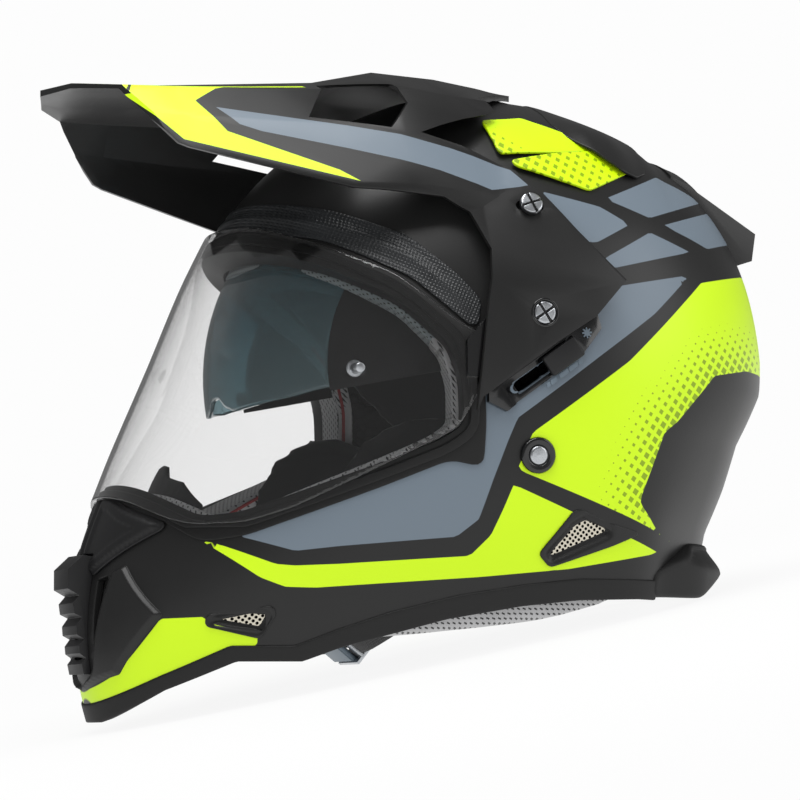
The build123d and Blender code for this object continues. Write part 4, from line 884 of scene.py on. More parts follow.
# %% Cross-hatched ABS
# Crossed bands break its shine into fine points, as a knurled grip does
# A wave texture of scale 1 repeats after 314 mm
HATCH_MM, HATCH_TURN, HATCH_DEPTH, WAVE_MM = 1.6, math.radians(38), 0.25, 314
carbon_grain, tree, shader = material("cross_hatched_abs", IOR=1.5)
vary(tree, shader, "191a1b", "2c2e30", 12, (0.3, 0.42))
turned = add(tree, "Mapping", Vector=object_point(tree), Rotation=(HATCH_TURN, 0, 0)).outputs["Vector"]
hatches = [add(tree, "TexWave", {"wave_type": "BANDS", "bands_direction": way}, Vector=turned,
               Scale=WAVE_MM / HATCH_MM) for way in ("Z", "Y")]
both_ways = add(tree, "Math", {"operation": "MULTIPLY"}, i0=hatches[0].outputs["Fac"], i1=hatches[1].outputs["Fac"])
bump(tree, shader, both_ways.outputs[0], HATCH_DEPTH)

# %% Its shape: a flush rim, a groove, and a raised middle
BROW_LIFT, BROW_STEP, BROW_GROOVE, BROW_WALL, BROW_CORNER = 1.2, 0.8, 0.5, 1.3, 3
STEP_AT, STEP_OVER, GROOVE_FROM, GROOVE_TO, GROOVE_OVER = 6, 1.2, 2.2, 3.4, 0.6

points, normals, faces = skin(104, 22, 1.6)
points, normals, faces = trim(points, normals, faces, side_distance(points, rounded(BROW, BROW_CORNER)))
inside = side_distance(points, rounded(BROW, BROW_CORNER)) / MM
step = smooth((inside - STEP_AT) / STEP_OVER)
groove = smooth((inside - GROOVE_FROM) / GROOVE_OVER) - smooth((inside - GROOVE_TO) / GROOVE_OVER)
lifts = (BROW_LIFT + BROW_STEP * step - BROW_GROOVE * groove) * MM
points, faces = wall(points + normals * lifts[:, None], normals, faces, BROW_WALL * MM, 0.4 * MM)
make("brow_grip", points, faces, carbon_grain, stands_for=["brow_trim"], slot="matte_black")

# %% [markdown]
# ## Shield and sun visor
# The shield is one clear sheet of hard-coated polycarbonate, bent round the face three
# millimetres off the shell. Its flat ears carry it on the hinge hubs. The sun visor
# behind it is a slice of an oval turned about its own hinge line, tinted teal. Both are
# real sheets with two faces, because light has to bend at each face to look like plastic.

# %% Clear and tinted sheet
# A hard coat is nearly perfectly smooth, so the sheet shows only as thin bright glints
clear, tree, shader = material("clear_hard_coated_polycarbonate", Base_Color=(1, 1, 1, 1), IOR=1.58, Roughness=0.015,
                               Transmission_Weight=1.0)
# Print under the hard coat has the depth of black glass
rim_black, tree, shader = material("black_printed_shield_border", Base_Color=colour("0b0b0c"), Roughness=0.2, IOR=1.5,
                                   Coat_Weight=0.5, Coat_Roughness=0.05)

# The dye sinks deeper towards the visor's upper edge, which looks darker there
tint, tree, shader = material("tinted_polycarbonate", IOR=1.58, Roughness=0.03, Transmission_Weight=0.75)
height = add(tree, "SeparateXYZ", Vector=object_point(tree))
shade = add(tree, "MapRange", Value=height.outputs["Z"], From_Min=0.125, From_Max=0.2)
dyed = blend_colours(tree, shade.outputs["Result"], colour("a9c6cc"), colour("4f7f8b"))
tree.links.new(dyed, shader.inputs["Base Color"])

# %% The clear sheet
SHIELD_OFF, SHIELD_WALL = 5.2, 2.2
points, normals, faces = skin(86, -74, 2.4)
points, normals, faces = trim(points, normals, faces, side_distance(points, rounded(SHIELD, 5)))
points, faces = wall(points + normals * SHIELD_OFF * MM, normals, faces, SHIELD_WALL * MM, 0.7 * MM)
make("shield_sheet", points, faces, clear, "shield", stands_for=["face_shield"], slot="clear_shield")

# %% The ears: flat plates with a round end and the hole for the hub
EAR_X, EAR_WALL, EAR_RADIUS, HUB_RADIUS = 127.9, 3, 14.5, 9.0


def plate(outline, x0, x1, rounding, hole):
    """A flat plate parallel to the side view between two X, from a drawn line in mm, with
    a round hole (y, z, radius): rings of quads join the line and the hole."""
    line = rounded(outline, rounding, 3)
    count = len(line)
    angle = np.arctan2(*(line - hole[:2]).T[::-1])
    inner = hole[:2] + hole[2] * np.column_stack([np.cos(angle), np.sin(angle)])
    rings = [np.column_stack([np.full(count, x), ring]) for x in (x0, x1) for ring in (line, inner)]
    a, b = np.arange(count), (np.arange(count) + 1) % count
    o0, i0, o1, i1 = (k * count for k in range(4))
    faces = np.concatenate([np.column_stack([a + first, b + first, b + second, a + second])
                            for first, second in ((o0, o1), (o1, i1), (i0, o0), (i1, i0))])
    area = np.sum(line[:, 0] * np.roll(line[:, 1], -1) - line[:, 1] * np.roll(line[:, 0], -1))
    return np.concatenate(rings) * MM, faces if area > 0 else faces[:, ::-1]


def mirrored(points, faces):
    """The same piece on the other side: X changes sign, and so does each face's turn."""
    return points * (-1, 1, 1), faces[:, ::-1]


turn = np.linspace(-2.6, 1.4, 18)[::-1]
round_end = [(HINGE[0] + EAR_RADIUS * math.cos(a), HINGE[1] + EAR_RADIUS * math.sin(a)) for a in turn]
EAR = [(-8, 2), (-8, 20), (12, 42), (18.5, 45)] + round_end + [(2, 2)]
left_ear = plate(EAR, EAR_X, EAR_X + EAR_WALL, 0.8, (*HINGE, HUB_RADIUS))
for side, shape in (("left", left_ear), ("right", mirrored(*left_ear))):
    bevelled(make("shield_ear_" + side, *shape, rim_black, "shield", slot="clear_shield"), 0.5)

# %% The sun visor
VISOR, VISOR_REACH, VISOR_HALF, VISOR_POWER = (14.0, 12.0), 113.0, 93.0, 2.6
VISOR_LENS_HALF, VISOR_HIGH, VISOR_WALL = 78.0, 147.0, 2.0
VISOR_LOWER = [(0, -2), (7, -2.5), (14, -7), (26, -10), (45, -8), (64, -5), (84, 2)]
VISOR_ROWS, VISOR_COLUMNS = 61, 121


def visor_shape(shrink):
    """x = half width times sin to the power 2/p, radius = reach times cos to it, turned
    about the hinge line from the upper angle to the lower edge as drawn."""
    half, reach = VISOR_HALF - shrink, VISOR_REACH - shrink
    limit = math.asin((VISOR_LENS_HALF / half) ** (VISOR_POWER / 2))
    across = np.linspace(-limit, limit, VISOR_COLUMNS)
    x = half * np.sign(across) * np.abs(np.sin(across)) ** (2 / VISOR_POWER)
    radius = reach * np.cos(across) ** (2 / VISOR_POWER)
    edge = np.interp(np.abs(x), *np.array(VISOR_LOWER).T)
    bottom = np.pi - np.arcsin(np.clip((edge - VISOR[1]) / radius, -1, 1))
    share = np.linspace(0, 1, VISOR_ROWS)[:, None]
    angle = math.radians(VISOR_HIGH) * (1 - share) + bottom * share
    y = VISOR[0] + radius * np.cos(angle)
    z = VISOR[1] + radius * np.sin(angle)
    return np.stack([np.broadcast_to(x, y.shape), y, z], -1).reshape(-1, 3) * MM


outer, inner = visor_shape(0), visor_shape(VISOR_WALL)
count = len(outer)
outer_faces = grid_faces(VISOR_ROWS, VISOR_COLUMNS, False)
a = outer[outer_faces[0]]
if np.cross(a[1] - a[0], a[2] - a[0]) @ (a[0] - np.array([0, *VISOR]) * MM) < 0:
    outer_faces = outer_faces[:, ::-1]
s, e = open_runs(outer_faces).T
closing = np.concatenate([np.column_stack([e, s, s + count]), np.column_stack([e, s + count, e + count])])
make("sun_visor_sheet", np.concatenate([outer, inner]),
     np.concatenate([outer_faces, outer_faces[:, ::-1] + count, closing]), tint, "sun_visor",
     stands_for=["sun_visor_lens"], slot="tinted_lens")

# %% [markdown]
# ## The peak
# The sun peak is one faceted moulding. Its paint has dead straight edges, so the mesh is
# sliced along each painted line and the pieces inside take their own lacquer: the edge
# is then as sharp as the mask that a painter tapes on. A kept distance, as on the shell,
# would smear here, because the peak's flat facets have few points.

# %% Slice along a line and paint what it holds
SLICE_MARGIN, UPPER_SHARE = 1, 0.6


def sliced(tool, line, axis):
    """Cuts the faces near a closed line by the plane of each of its runs. The planes
    stand on the side view (axis 0) or hang from the top view (axis 2)."""
    drawn = np.asarray(line, float) * MM
    others = [1, 2] if axis == 0 else [0, 1]
    for start, end in zip(drawn, np.roll(drawn, -1, 0)):
        place, along, up = np.zeros((3, 3))
        place[others], along[others], up[axis] = start, end - start, 1
        normal = NOSE_TURN @ Vector(np.cross(along, up))
        low, high = np.minimum(start, end) - SLICE_MARGIN * MM, np.maximum(start, end) + SLICE_MARGIN * MM
        near = []
        for face in tool.faces:
            corners = worn([v.co for v in face.verts])[:, others]
            if (corners.max(0) >= low).all() and (corners.min(0) <= high).all():
                near.append(face)
        geometry = near + list({e for f in near for e in f.edges}) + list({v for f in near for v in f.verts})
        bmesh.ops.bisect_plane(tool, geom=geometry, plane_co=Vector(stand(place)), plane_no=normal, dist=1e-6)


def painted(obj, shapes, finishes, axis=0, outer=0.15):
    """Slices a piece along each shape and gives the inside faces that look outwards the
    shape's lacquer. A shape's last item is the number of its finish."""
    for finish in finishes:
        if finish.name not in obj.data.materials:
            obj.data.materials.append(finish)
    tool = bmesh.new()
    tool.from_mesh(obj.data)
    for line, number in shapes:
        for way in ((1, -1) if axis == 2 else (1,)):
            sliced(tool, [(way * a, b) for a, b in line] if axis == 2 else line, axis)
        tool.normal_update()
        for face in tool.faces:
            centre = worn(face.calc_center_median())
            normal = NOSE_TURN.inverted() @ face.normal
            if axis == 0:
                seen, facing = centre[None, 1:], normal.x * math.copysign(1, centre[0]) + UPPER_SHARE * normal.z
            else:
                seen, facing = np.array([[abs(centre[0]), centre[1]]]), normal.z
            if facing > outer and distance(seen, line)[0] > 0:
                face.material_index = number
    tool.to_mesh(obj.data)
    tool.free()


# %% Copy the peak, set its rear end and paint it
PEAK_SIDE = [
    ([(-163, 141.5), (-161.1, 139.5), (-138.5, 117.7), (-56.5, 97.3), (-66, 103), (-116.9, 122.3), (-129.2, 138.4),
      (-131.2, 145)], 1),
    ([(-120.2, 135.3), (-33.3, 122.6), (-8.4, 116.3), (22.0, 106.4), (29.6, 98.7), (24.2, 97.4), (10.3, 95.3),
      (-15.7, 104.4), (-35.4, 109.3), (-100.5, 122.6), (-110.6, 126.1)], 2),
]
PEAK_TOP = [
    ([(67, -161), (80, -160), (84, -130), (74, -129.2), (69, -118), (64, -70), (58, -70), (60, -128), (48, -150)], 1),
    ([(2, -189), (41, -181), (67, -163), (60, -158), (38, -172), (2, -180)], 1),
    ([(10, -174), (36, -166), (44, -158), (34, -158), (12, -167)], 1),
]
REAR_DOWN, REAR_FROM, REAR_OVER, REAR_ABOVE, REAR_RISE = 3.4, -40, 70, 128, 14
END_FORWARD, END_FROM, END_OVER = 9.0, 15, 40


def reseated(obj, move):
    """Changes the worn points of a copied piece, in millimetres, by a function of them."""
    obj.data.vertices.foreach_set("co", stand(move(worn(coordinates(obj.data)) / MM) * MM).ravel())


def rear_end(at):
    """Lowers the crown end of the peak above a level, and draws its last part forward."""
    back = smooth((at[:, 1] - REAR_FROM) / REAR_OVER) * smooth((at[:, 2] - REAR_ABOVE) / REAR_RISE)
    forward = END_FORWARD * smooth((at[:, 1] - END_FROM) / END_OVER) * back
    return np.column_stack([at[:, 0], at[:, 1] - forward, at[:, 2] - REAR_DOWN * back])


peak = eased("peak", 1.1, black_lacquer, "peak")
reseated(peak, rear_end)
painted(peak, PEAK_SIDE, [yellow_lacquer, grey_lacquer])
painted(peak, PEAK_TOP, [yellow_lacquer], axis=2, outer=0.5)
print("peak:", len(peak.data.polygons), "faces")

# %% [markdown]
# ## Crown scoops and tail
# Two yellow air scoops lie on each side of the crest. Each is a thin moulded panel that
# leaves the shell at one edge and stands proud at the other, where the air goes in.
# Lifting the shell's own surface by a slope gives just that, and it fits without a gap.

# %% The scoops: where each starts, where it is flush, its least and added lift, its print
SCOOPS = (("upper", SCOOP_UPPER, ((22, 115), (44, 138)), (0.5, 2.7), (148, 108), (1.25, 2.6)),
          ("lower", SCOOP_LOWER, ((29, 108), (98, 112)), (0.4, 2.8), (128, 92), (0.75, 0.3)))


def along_line(points, start, end):
    """Share of the way from one side-view point to another, from 0 to 1."""
    run = np.subtract(end, start)
    return np.clip(((points[:, 1:] - start) @ run) / (run @ run), 0, 1)


def side_of(way):
    """Keeps the left half for 1 and the right half for -1."""
    return lambda points: way * points[:, 0]


for side, way in SIDES:
    for level, outline, run, (least, added), height, (size, fall) in SCOOPS:
        scoop, at = lifted_patch(f"scoop_{level}_{side}", outline,
                                 lambda p: least + added * smooth(1 - along_line(p, *run)), 1.6, shell_lacquer, height,
                                 keep=side_of(way), slot="scoop_paint")
        mark(scoop, "grey", np.full(len(at), -1.0))
        mark(scoop, "yellow", np.full(len(at), 1.0))
        mark(scoop, "halftone", np.clip(size - fall * along_line(at / MM, *run), 0, 1))
    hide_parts("crown_scoop_" + side)

# %% The crest's hood, flush at its middle and its ends and proud where the air goes in
HOOD_TOP = [(0, 61), (48, 61), (61, 60), (72, 64), (79, 70), (84, 78), (87, 88), (84, 97), (76, 105), (62, 109),
            (0, 112)]
HOOD_ABOVE, HOOD_FLUSH, HOOD_PROUD, HOOD_MIDDLE, HOOD_WIDENS = 90, 0.5, 3.8, 40, 34
INLET_FROM, INLET_OVER, HOOD_FALLS, HOOD_OVER = 62, 14, 84, 22


def top_distance(points, line):
    """Distance in the top view, the same on the left and on the right."""
    value = distance(np.column_stack([np.abs(points[:, 0]), points[:, 1]]), line)
    return np.where(points[:, 2] > HOOD_ABOVE * MM, value, -1.0)


def hood_rise(points):
    """Three smooth steps multiplied: away from the middle, up after the front edge, and
    down again before the tail."""
    aside = smooth((np.abs(points[:, 0]) - HOOD_MIDDLE) / HOOD_WIDENS)
    up = smooth((points[:, 1] - INLET_FROM) / INLET_OVER)
    return HOOD_FLUSH + HOOD_PROUD * aside * up * (1 - smooth((points[:, 1] - HOOD_FALLS) / HOOD_OVER))


lifted_patch("crest_hood", HOOD_TOP, hood_rise, 1.6, black_lacquer, (SKIN_TOP, 98), view=top_distance,
             stands_for=["rear_spoiler"], slot="black_plastic")

# %% The tail: what the CAD's crest has behind the hood
TAIL_FROM, TAIL_DOWN, TAIL_OVER = 128.0, 3.0, 18
tail = eased("rear_spoiler", 0.8, black_lacquer, name="tail_spoiler")
tool = bmesh.new()
tool.from_mesh(tail.data)
bmesh.ops.bisect_plane(tool, geom=tool.verts[:] + tool.edges[:] + tool.faces[:], dist=1e-6, clear_outer=True,
                       plane_co=Vector(stand(np.array([0, TAIL_FROM, 100]) * MM)),
                       plane_no=NOSE_TURN @ Vector((0, -1, 0)))
bmesh.ops.holes_fill(tool, edges=[e for e in tool.edges if e.is_boundary])
tool.to_mesh(tail.data)
tool.free()
reseated(tail, lambda at: at - np.outer(TAIL_DOWN * (1 - smooth((at[:, 1] - TAIL_FROM) / TAIL_OVER)), (0, 0, 1)))
print("tail:", len(tail.data.polygons), "faces behind", TAIL_FROM, "mm")

# %% [markdown]
# ## Chin
# The hood above the mouth vent, the ribbed mouth piece and the breath guard are matte
# mouldings. A raised rim could be a separate strip, but on the real hood it is one
# moulding with the hood, so it is a rise of the same surface.

# %% Chin pieces
def front_view(points, line):
    """Distance in the front view, on the chin bar alone."""
    return ahead_only(front_distance(points, line), points)


CHIN_RIM = rounded(CHIN_COVER[:6] + [(0, -92)], 2)
CHIN_LIFT, RIM_LIFT, RIM_FROM, RIM_OVER = 1.6, 1.8, 1.2, 1.2
RIM_FALL, RIM_TO, RIM_SOFT = 0.55, 6, 1.5
PANEL_LINE = rounded(CHIN_PANEL, 1.0)
PANEL_FLUSH, PANEL_PROUD, PANEL_OVER = 0.3, 2.2, 1.6


def hood_lift(points):
    """A raised rim just inside the hood's line, half of which falls again further in."""
    inside = front_distance(points * MM, CHIN_RIM) / MM
    rim = smooth((inside - RIM_FROM) / RIM_OVER) - RIM_FALL * smooth((inside - RIM_TO) / RIM_SOFT)
    return CHIN_LIFT + RIM_LIFT * rim


def panel_lift(points):
    """Two and a half millimetres proud, falling to the shell over the last millimetre and
    a half of its edge."""
    return PANEL_FLUSH + PANEL_PROUD * smooth(front_distance(points * MM, PANEL_LINE) / MM / PANEL_OVER)


lifted_patch("chin_hood", CHIN_COVER, hood_lift, 1.5, textured_abs, (-46, -96), 1.5, view=front_view,
             stands_for=["chin_vent_cover"], slot="matte_black")
for side, way in SIDES:
    lifted_patch("chin_panel_" + side, CHIN_PANEL, panel_lift, 2.2, black_lacquer, (-84, -152), 1.0, 1.2,
                 view=front_view, keep=side_of(way), slot="shell_paint")
for node in ("mouth_grille", "breath_guard"):
    eased(node, 0.8, textured_abs)

# %% [markdown]
# ## Vents
# Perforated steel closes the vents from inside and keeps stones out. Hundreds of holes a millimetre wide would be
# costly to model, and behind them it is dark anyway, so each hole is a sunken, rough spot of the metal painted near
# black: painted shade for the dark space behind it.

# %% Perforated steel
HOLE_PITCH, HOLE_FROM, HOLE_TO = 3.0, 0.30, 0.36


def lattice(tree, pitch_mm):
    """Staggered cells in the side view, along y + z and y - z: the distance from each
    cell's middle, in cells."""
    place = add(tree, "SeparateXYZ", Vector=object_point(tree))
    squares = []
    for kind in ("ADD", "SUBTRACT"):
        part = add(tree, "Math", {"operation": kind}, i0=place.outputs["Y"], i1=place.outputs["Z"])
        cell = add(tree, "Math", {"operation": "MULTIPLY"}, i0=part.outputs[0], i1=1 / (pitch_mm * MM))
        inside = add(tree, "Math", {"operation": "FRACT"}, i0=cell.outputs[0])
        centred = add(tree, "Math", {"operation": "SUBTRACT"}, i0=inside.outputs[0], i1=0.5).outputs[0]
        squares.append(add(tree, "Math", {"operation": "MULTIPLY"}, i0=centred, i1=centred).outputs[0])
    total = add(tree, "Math", {"operation": "ADD"}, i0=squares[0], i1=squares[1])
    return add(tree, "Math", {"operation": "SQRT"}, i0=total.outputs[0]).outputs[0]


# Between the holes the steel keeps a bright, warm shine. The holes are painted near black, as painted shade
perforated, tree, shader = material("perforated_stainless_steel", Metallic=1.0)
web = add(tree, "MapRange", Value=lattice(tree, HOLE_PITCH), From_Min=HOLE_FROM, From_Max=HOLE_TO).outputs["Result"]
# Near black in the holes is painted shade, the steel's own colour between them
tree.links.new(blend_colours(tree, web, colour("12110f"), colour("d8d2c2")), shader.inputs["Base Color"])
dull = add(tree, "MapRange", Value=web, To_Min=1.0, To_Max=0.3)
tree.links.new(dull.outputs["Result"], shader.inputs["Roughness"])
bump(tree, shader, web, 0.4)


# %% A frame and its steel on each side
FRAME_PROUD, FRAME_SINKS, FRAME_OVER, STEEL_LIFT = 0.9, 2.6, 4.0, -1.9


def vent(place, rim, steel, height):
    """The frame round a vent, proud at its outer line and sunk at the steel, and the steel
    under the shell's surface."""
    hole = rounded(steel, 1.2)

    def frame_lift(points):
        return FRAME_PROUD - FRAME_SINKS * smooth(1 + side_distance(points * MM, hole) / MM / FRAME_OVER)

    for side, way in SIDES:
        lifted_patch(f"{place}_vent_frame_{side}", rim, frame_lift, 1.2, black_lacquer, height, 2.0, 1.2,
                     keep=lambda p: np.minimum(way * p[:, 0], -side_distance(p, hole)), slot="black_plastic")
        lifted_patch(f"{place}_vent_steel_{side}", steel, lambda p: np.full(len(p), STEEL_LIFT), 0.8, perforated,
                     height, 0.5, keep=side_of(way), stands_for=[f"{place}_vent_mesh_{side}"], slot="metal_mesh")


vent("chin", CHIN_VENT_RIM, CHIN_VENT_STEEL, (-104, -130))
vent("rear", REAR_VENT_RIM, REAR_VENT_STEEL, (-56, -96))

# %% [markdown]
# ## Screws, rivets and the visor's slider
# The four screws have turned heads with a cross-shaped slot. The chin strap's rivets sit
# in black washers. A lathe makes a head from a profile, so here it is a polar grid: its
# height is a function of the radius, less the slot, which follows the angle.

# %% A turned head
HEAD_COUNT, HEAD_RINGS, SLOT_DEPTH, SLOT_HALF, SLOT_SIDE = 96, 26, 1.2, 0.75, 0.25
# How far under the foot the groove's painted shade, a black finish, starts and ends, and the share of the radius
GROOVE_SHADE_FROM, GROOVE_SHADE_TO, GROOVE_SHADE_WITHIN = -0.35, -SLOT_DEPTH - 0.7, 0.97


def closed_tube(rows, count):
    """Triangles of a grid of rings, with a fan at each end round one of the two points
    that follow the grid's own."""
    ring, after, last = np.arange(count), (np.arange(count) + 1) % count, (rows - 1) * count
    return np.concatenate([grid_faces(rows, count, True),
                           np.column_stack([np.full(count, rows * count), after, ring]),
                           np.column_stack([last + ring, last + after, np.full(count, rows * count + 1)])])


def turned_head(name, foot, axis, profile, finish, slot_turn=None, depth=1.5, body="helmet", **where):
    """Height over a disc: read from a profile of radii and heights, less a cross-shaped groove where the nearer of two
    crossed lines is within half the slot's width. What lies in the groove is painted black: painted shade in the slot."""
    radii, heights = profile
    axis = np.asarray(axis, float) / np.linalg.norm(axis)
    first = np.cross(axis, (0, 0, 1.0))
    first /= np.linalg.norm(first)
    second = np.cross(axis, first)
    radius = np.linspace(0.3, radii[-1], HEAD_RINGS)[:, None]
    angle = np.linspace(0, 2 * math.pi, HEAD_COUNT, endpoint=False)[None]
    height, middle = np.interp(radius, radii, heights) + 0 * angle, heights[0]
    if slot_turn is not None:
        nearer = radius * np.minimum(np.abs(np.sin(angle - slot_turn)), np.abs(np.cos(angle - slot_turn)))
        height = height - SLOT_DEPTH * smooth((SLOT_HALF - nearer) / SLOT_SIDE)
        middle -= SLOT_DEPTH
    r = np.vstack([radius + 0 * angle, np.full((1, HEAD_COUNT), radii[-1])])
    h = np.vstack([height, np.full((1, HEAD_COUNT), -depth)])
    rings = foot + (first * (r * np.cos(angle))[..., None] + second * (r * np.sin(angle))[..., None]
                    + axis * h[..., None])
    points = np.concatenate([rings.reshape(-1, 3), [foot + axis * middle, foot - axis * depth]])
    faces = closed_tube(HEAD_RINGS + 1, HEAD_COUNT)
    if volume_of(points, faces) < 0:
        faces = faces[:, ::-1]
    head = make(name, points * MM, faces, finish, body, **where)
    if slot_turn is not None:
        middles = points[faces].mean(1) - foot
        high, from_axis = middles @ axis, np.linalg.norm(np.cross(middles, axis), axis=1)
        shaded_groove = (high < GROOVE_SHADE_FROM) & (high > GROOVE_SHADE_TO) & (from_axis < radii[-1] * GROOVE_SHADE_WITHIN)
        # The groove gets black ABS as painted shade: the real slot is the same plated steel as the head
        head.data.materials.append(gloss_abs)
        head.data.polygons.foreach_set("material_index", shaded_groove.astype(np.int32))


def seat(node, place, axis=None):
    """The foot of a head: the point of the side at y, z, moved out along the surface's
    normal to where the CAD piece of that node ends, and that normal."""
    base = side_point(place[0] * MM, place[1] * MM) / MM
    if axis is None:
        axis = side_point(place[0] * MM, place[1] * MM, 1.0) - side_point(place[0] * MM, place[1] * MM)
    axis = np.asarray(axis, float) / np.linalg.norm(axis)
    corners = worn(coordinates(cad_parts[node].data)) / MM
    reach = ((corners[corners[:, 0] > 0] - base) @ axis).max()
    return base + axis * reach, axis


# %% The heads
# Each row: name, CAD piece, side-view place, axis if it isn't the surface's normal, how
# deep it is sunk, profile of radii and heights, finish, and the rest
HEADS = (
    ("pivot_screw", "peak_pivot_screws", HINGE, (1, 0, 0), 0, ((0, 4.6, 5.1, 5.5), (0.1, 0.0, -0.15, -0.6)),
     zinc_steel, dict(slot_turn=0.6, stands_for=["peak_pivot_screws"], slot="steel", body="peak")),
    ("pivot_screw_well", "peak_pivot_screws", HINGE, (1, 0, 0), 0.55,
     ((0, 5.6, 6.1, 6.9, 7.2), (-0.8, -0.8, 0.35, 0.35, 0.0)), gloss_abs,
     dict(slot="black_plastic", body="peak", depth=1.0)),
    ("top_screw", "peak_top_screws", TOP_SCREW, None, 0, ((0, 4.8, 5.3, 5.6), (0.2, 0.0, -0.15, -0.6)),
     zinc_steel, dict(slot_turn=0.35, stands_for=["peak_top_screws"], slot="steel", depth=3.0)),
    ("rivet_washer", "strap_washers", RIVET, None, 0,
     ((0, 4.9, 5.3, 7.4, 8.4, 8.9), (-0.9, -0.9, 0.0, 0.25, 0.0, -0.9)), gloss_abs,
     dict(stands_for=["strap_washers"], slot="black_plastic", depth=2.0)),
    ("rivet", "strap_rivets", RIVET, None, 1.2, ((0, 3.6, 4.3, 4.7), (0.7, 0.45, 0.1, -0.5)),
     zinc_steel, dict(stands_for=["strap_rivets"], slot="steel", depth=2.0)),
)
for side, way in SIDES:
    for name, node, place, straight, sunk, profile, finish, rest in HEADS:
        foot, axis = seat(node, place, straight)
        turned_head(f"{name}_{side}", (foot - axis * sunk) * (way, 1, 1), axis * (way, 1, 1), profile, finish, **rest)

# %% The slider's plate, knob and signs
SIGN_LIFT, SIGN_WALL, SIGN_SPACING, SIGN_TURNS = 4.35, 0.6, 0.35, (1.2, 2.2)
MOON_TURN, SUN_TIP, SUN_VALLEY, SUN_STEPS = 0.6, 2.6, 1.3, 32


def direction(angle):
    """The unit vector at an angle in the side view."""
    return np.array((math.cos(angle), math.sin(angle)))


def sign(name, outline):
    """A thin sign on the plate: a finely cut piece of the shell's surface, lifted."""
    top, bottom = max(p[1] for p in outline) + 3, min(p[1] for p in outline) - 3
    points, normals, faces = skin(top, bottom, SIGN_SPACING, SIGN_TURNS)
    points, normals, faces = trim(points, normals, faces, side_distance(points, outline))
    points, faces = wall(points + normals * SIGN_LIFT * MM, normals, faces, SIGN_WALL * MM, 0.1 * MM)
    make(name, points, faces, grey_abs, slot="matte_black")


eased("slider_bezel", 0.5, gloss_abs)
eased("slider_knob", 1.2, textured_abs, "slider")
moon_at, sun_at = np.array(on_track(-29.5, 0.6)), np.array(on_track(17.5, 2.0))
moon = [moon_at + 2.2 * direction(a + MOON_TURN) for a in np.linspace(0.9, 2 * math.pi - 0.9, 20)]
moon += [moon_at + 0.9 * direction(MOON_TURN) + 1.9 * direction(a + MOON_TURN)
         for a in np.linspace(2 * math.pi - 1.25, 1.25, 16)]
sign("moon_sign", moon)
sign("sun_sign", [sun_at + (SUN_TIP if k % 4 < 2 else SUN_VALLEY) * direction(k * 2 * math.pi / SUN_STEPS)
                  for k in range(SUN_STEPS)])
for number, (start, end) in enumerate(((-15.5, -13.6), (-13, -9.4), (-7.4, -2.2), (-1.4, 3.8), (4.6, 6.6))):
    sign("track_mark_" + str(number), [on_track(start, -8.3), on_track(end, -8.3), on_track(end + 0.8, -6.3),
                                       on_track(start + 0.8, -6.3)])

# %% [markdown]
# ## The liner
# The padding is fabric round foam: an open grey knit where air should pass, and brushed
# suede at the cheeks, with a red seam. It could stay as hard as the CAD solids, but foam
# in a cover always bulges. So each solid is remeshed fine, blown up a little as cloth
# with some pressure inside, and then smoothed.

# %% Fabrics
KNIT_PITCH, KNIT_ROW, KNIT_LEAN, KNIT_FLAT, KNIT_DEPTH = 3.0, 2.4, 0.45, 1.7, 0.5
YARN_FROM, YARN_TO, CLOUD_SIZE = 0.2, 0.32, 9


def knit(name, light, dark):
    """Open knit: staggered rows of short slanted slots between raised yarns. The greater
    of the distances across and up from each slot's middle, under a limit, is the slot.
    The kept lengths u and v run along and across the rows."""
    made, tree, shader = material(name, Roughness=0.85, Sheen_Weight=0.25)
    rows = add(tree, "Attribute", {"attribute_name": "v"}).outputs["Fac"]
    along = add(tree, "Attribute", {"attribute_name": "u"}).outputs["Fac"]
    level = add(tree, "Math", {"operation": "MULTIPLY"}, i0=rows, i1=1 / (KNIT_ROW * MM)).outputs[0]
    number = add(tree, "Math", {"operation": "FLOOR"}, i0=level).outputs[0]
    half = add(tree, "Math", {"operation": "MULTIPLY"}, i0=number, i1=0.5).outputs[0]
    parity = add(tree, "Math", {"operation": "FRACT"}, i0=half).outputs[0]
    place = add(tree, "Math", {"operation": "MULTIPLY_ADD"}, i0=along, i1=1 / (KNIT_PITCH * MM), i2=parity).outputs[0]
    centred = []
    for part in (place, level):
        inside = add(tree, "Math", {"operation": "FRACT"}, i0=part).outputs[0]
        centred.append(add(tree, "Math", {"operation": "SUBTRACT"}, i0=inside, i1=0.5).outputs[0])
    across, up = centred
    leaning = add(tree, "Math", {"operation": "MULTIPLY_ADD"}, i0=across, i1=KNIT_LEAN, i2=up).outputs[0]
    wide = add(tree, "Math", {"operation": "ABSOLUTE"}, i0=across).outputs[0]
    tall = add(tree, "Math", {"operation": "ABSOLUTE"}, i0=leaning).outputs[0]
    scaled = add(tree, "Math", {"operation": "MULTIPLY"}, i0=tall, i1=KNIT_FLAT).outputs[0]
    reach = add(tree, "Math", {"operation": "MAXIMUM"}, i0=wide, i1=scaled).outputs[0]
    yarn = add(tree, "MapRange", {"interpolation_type": "SMOOTHSTEP"}, Value=reach, From_Min=YARN_FROM,
               From_Max=YARN_TO).outputs["Result"]
    shade = add(tree, "MapRange", Value=grain(tree, CLOUD_SIZE), To_Min=0.86, To_Max=1.0).outputs["Result"]
    mixed = blend_colours(tree, yarn, colour(dark), colour(light))
    toned = add(tree, "Mix", {"data_type": "RGBA", "blend_type": "MULTIPLY"}, i0=1.0, i6=mixed, i7=shade)
    tree.links.new(toned.outputs[2], shader.inputs["Base Color"])
    bump(tree, shader, yarn, KNIT_DEPTH)
    return made


# Light yarns over dark slots give a soft grey that stays open when seen near
grey_knit = knit("grey_polyester_mesh", "b4b4b5", "2a2a2a")
teal_knit = knit("grey_brow_mesh", "8f9a9c", "33393b")

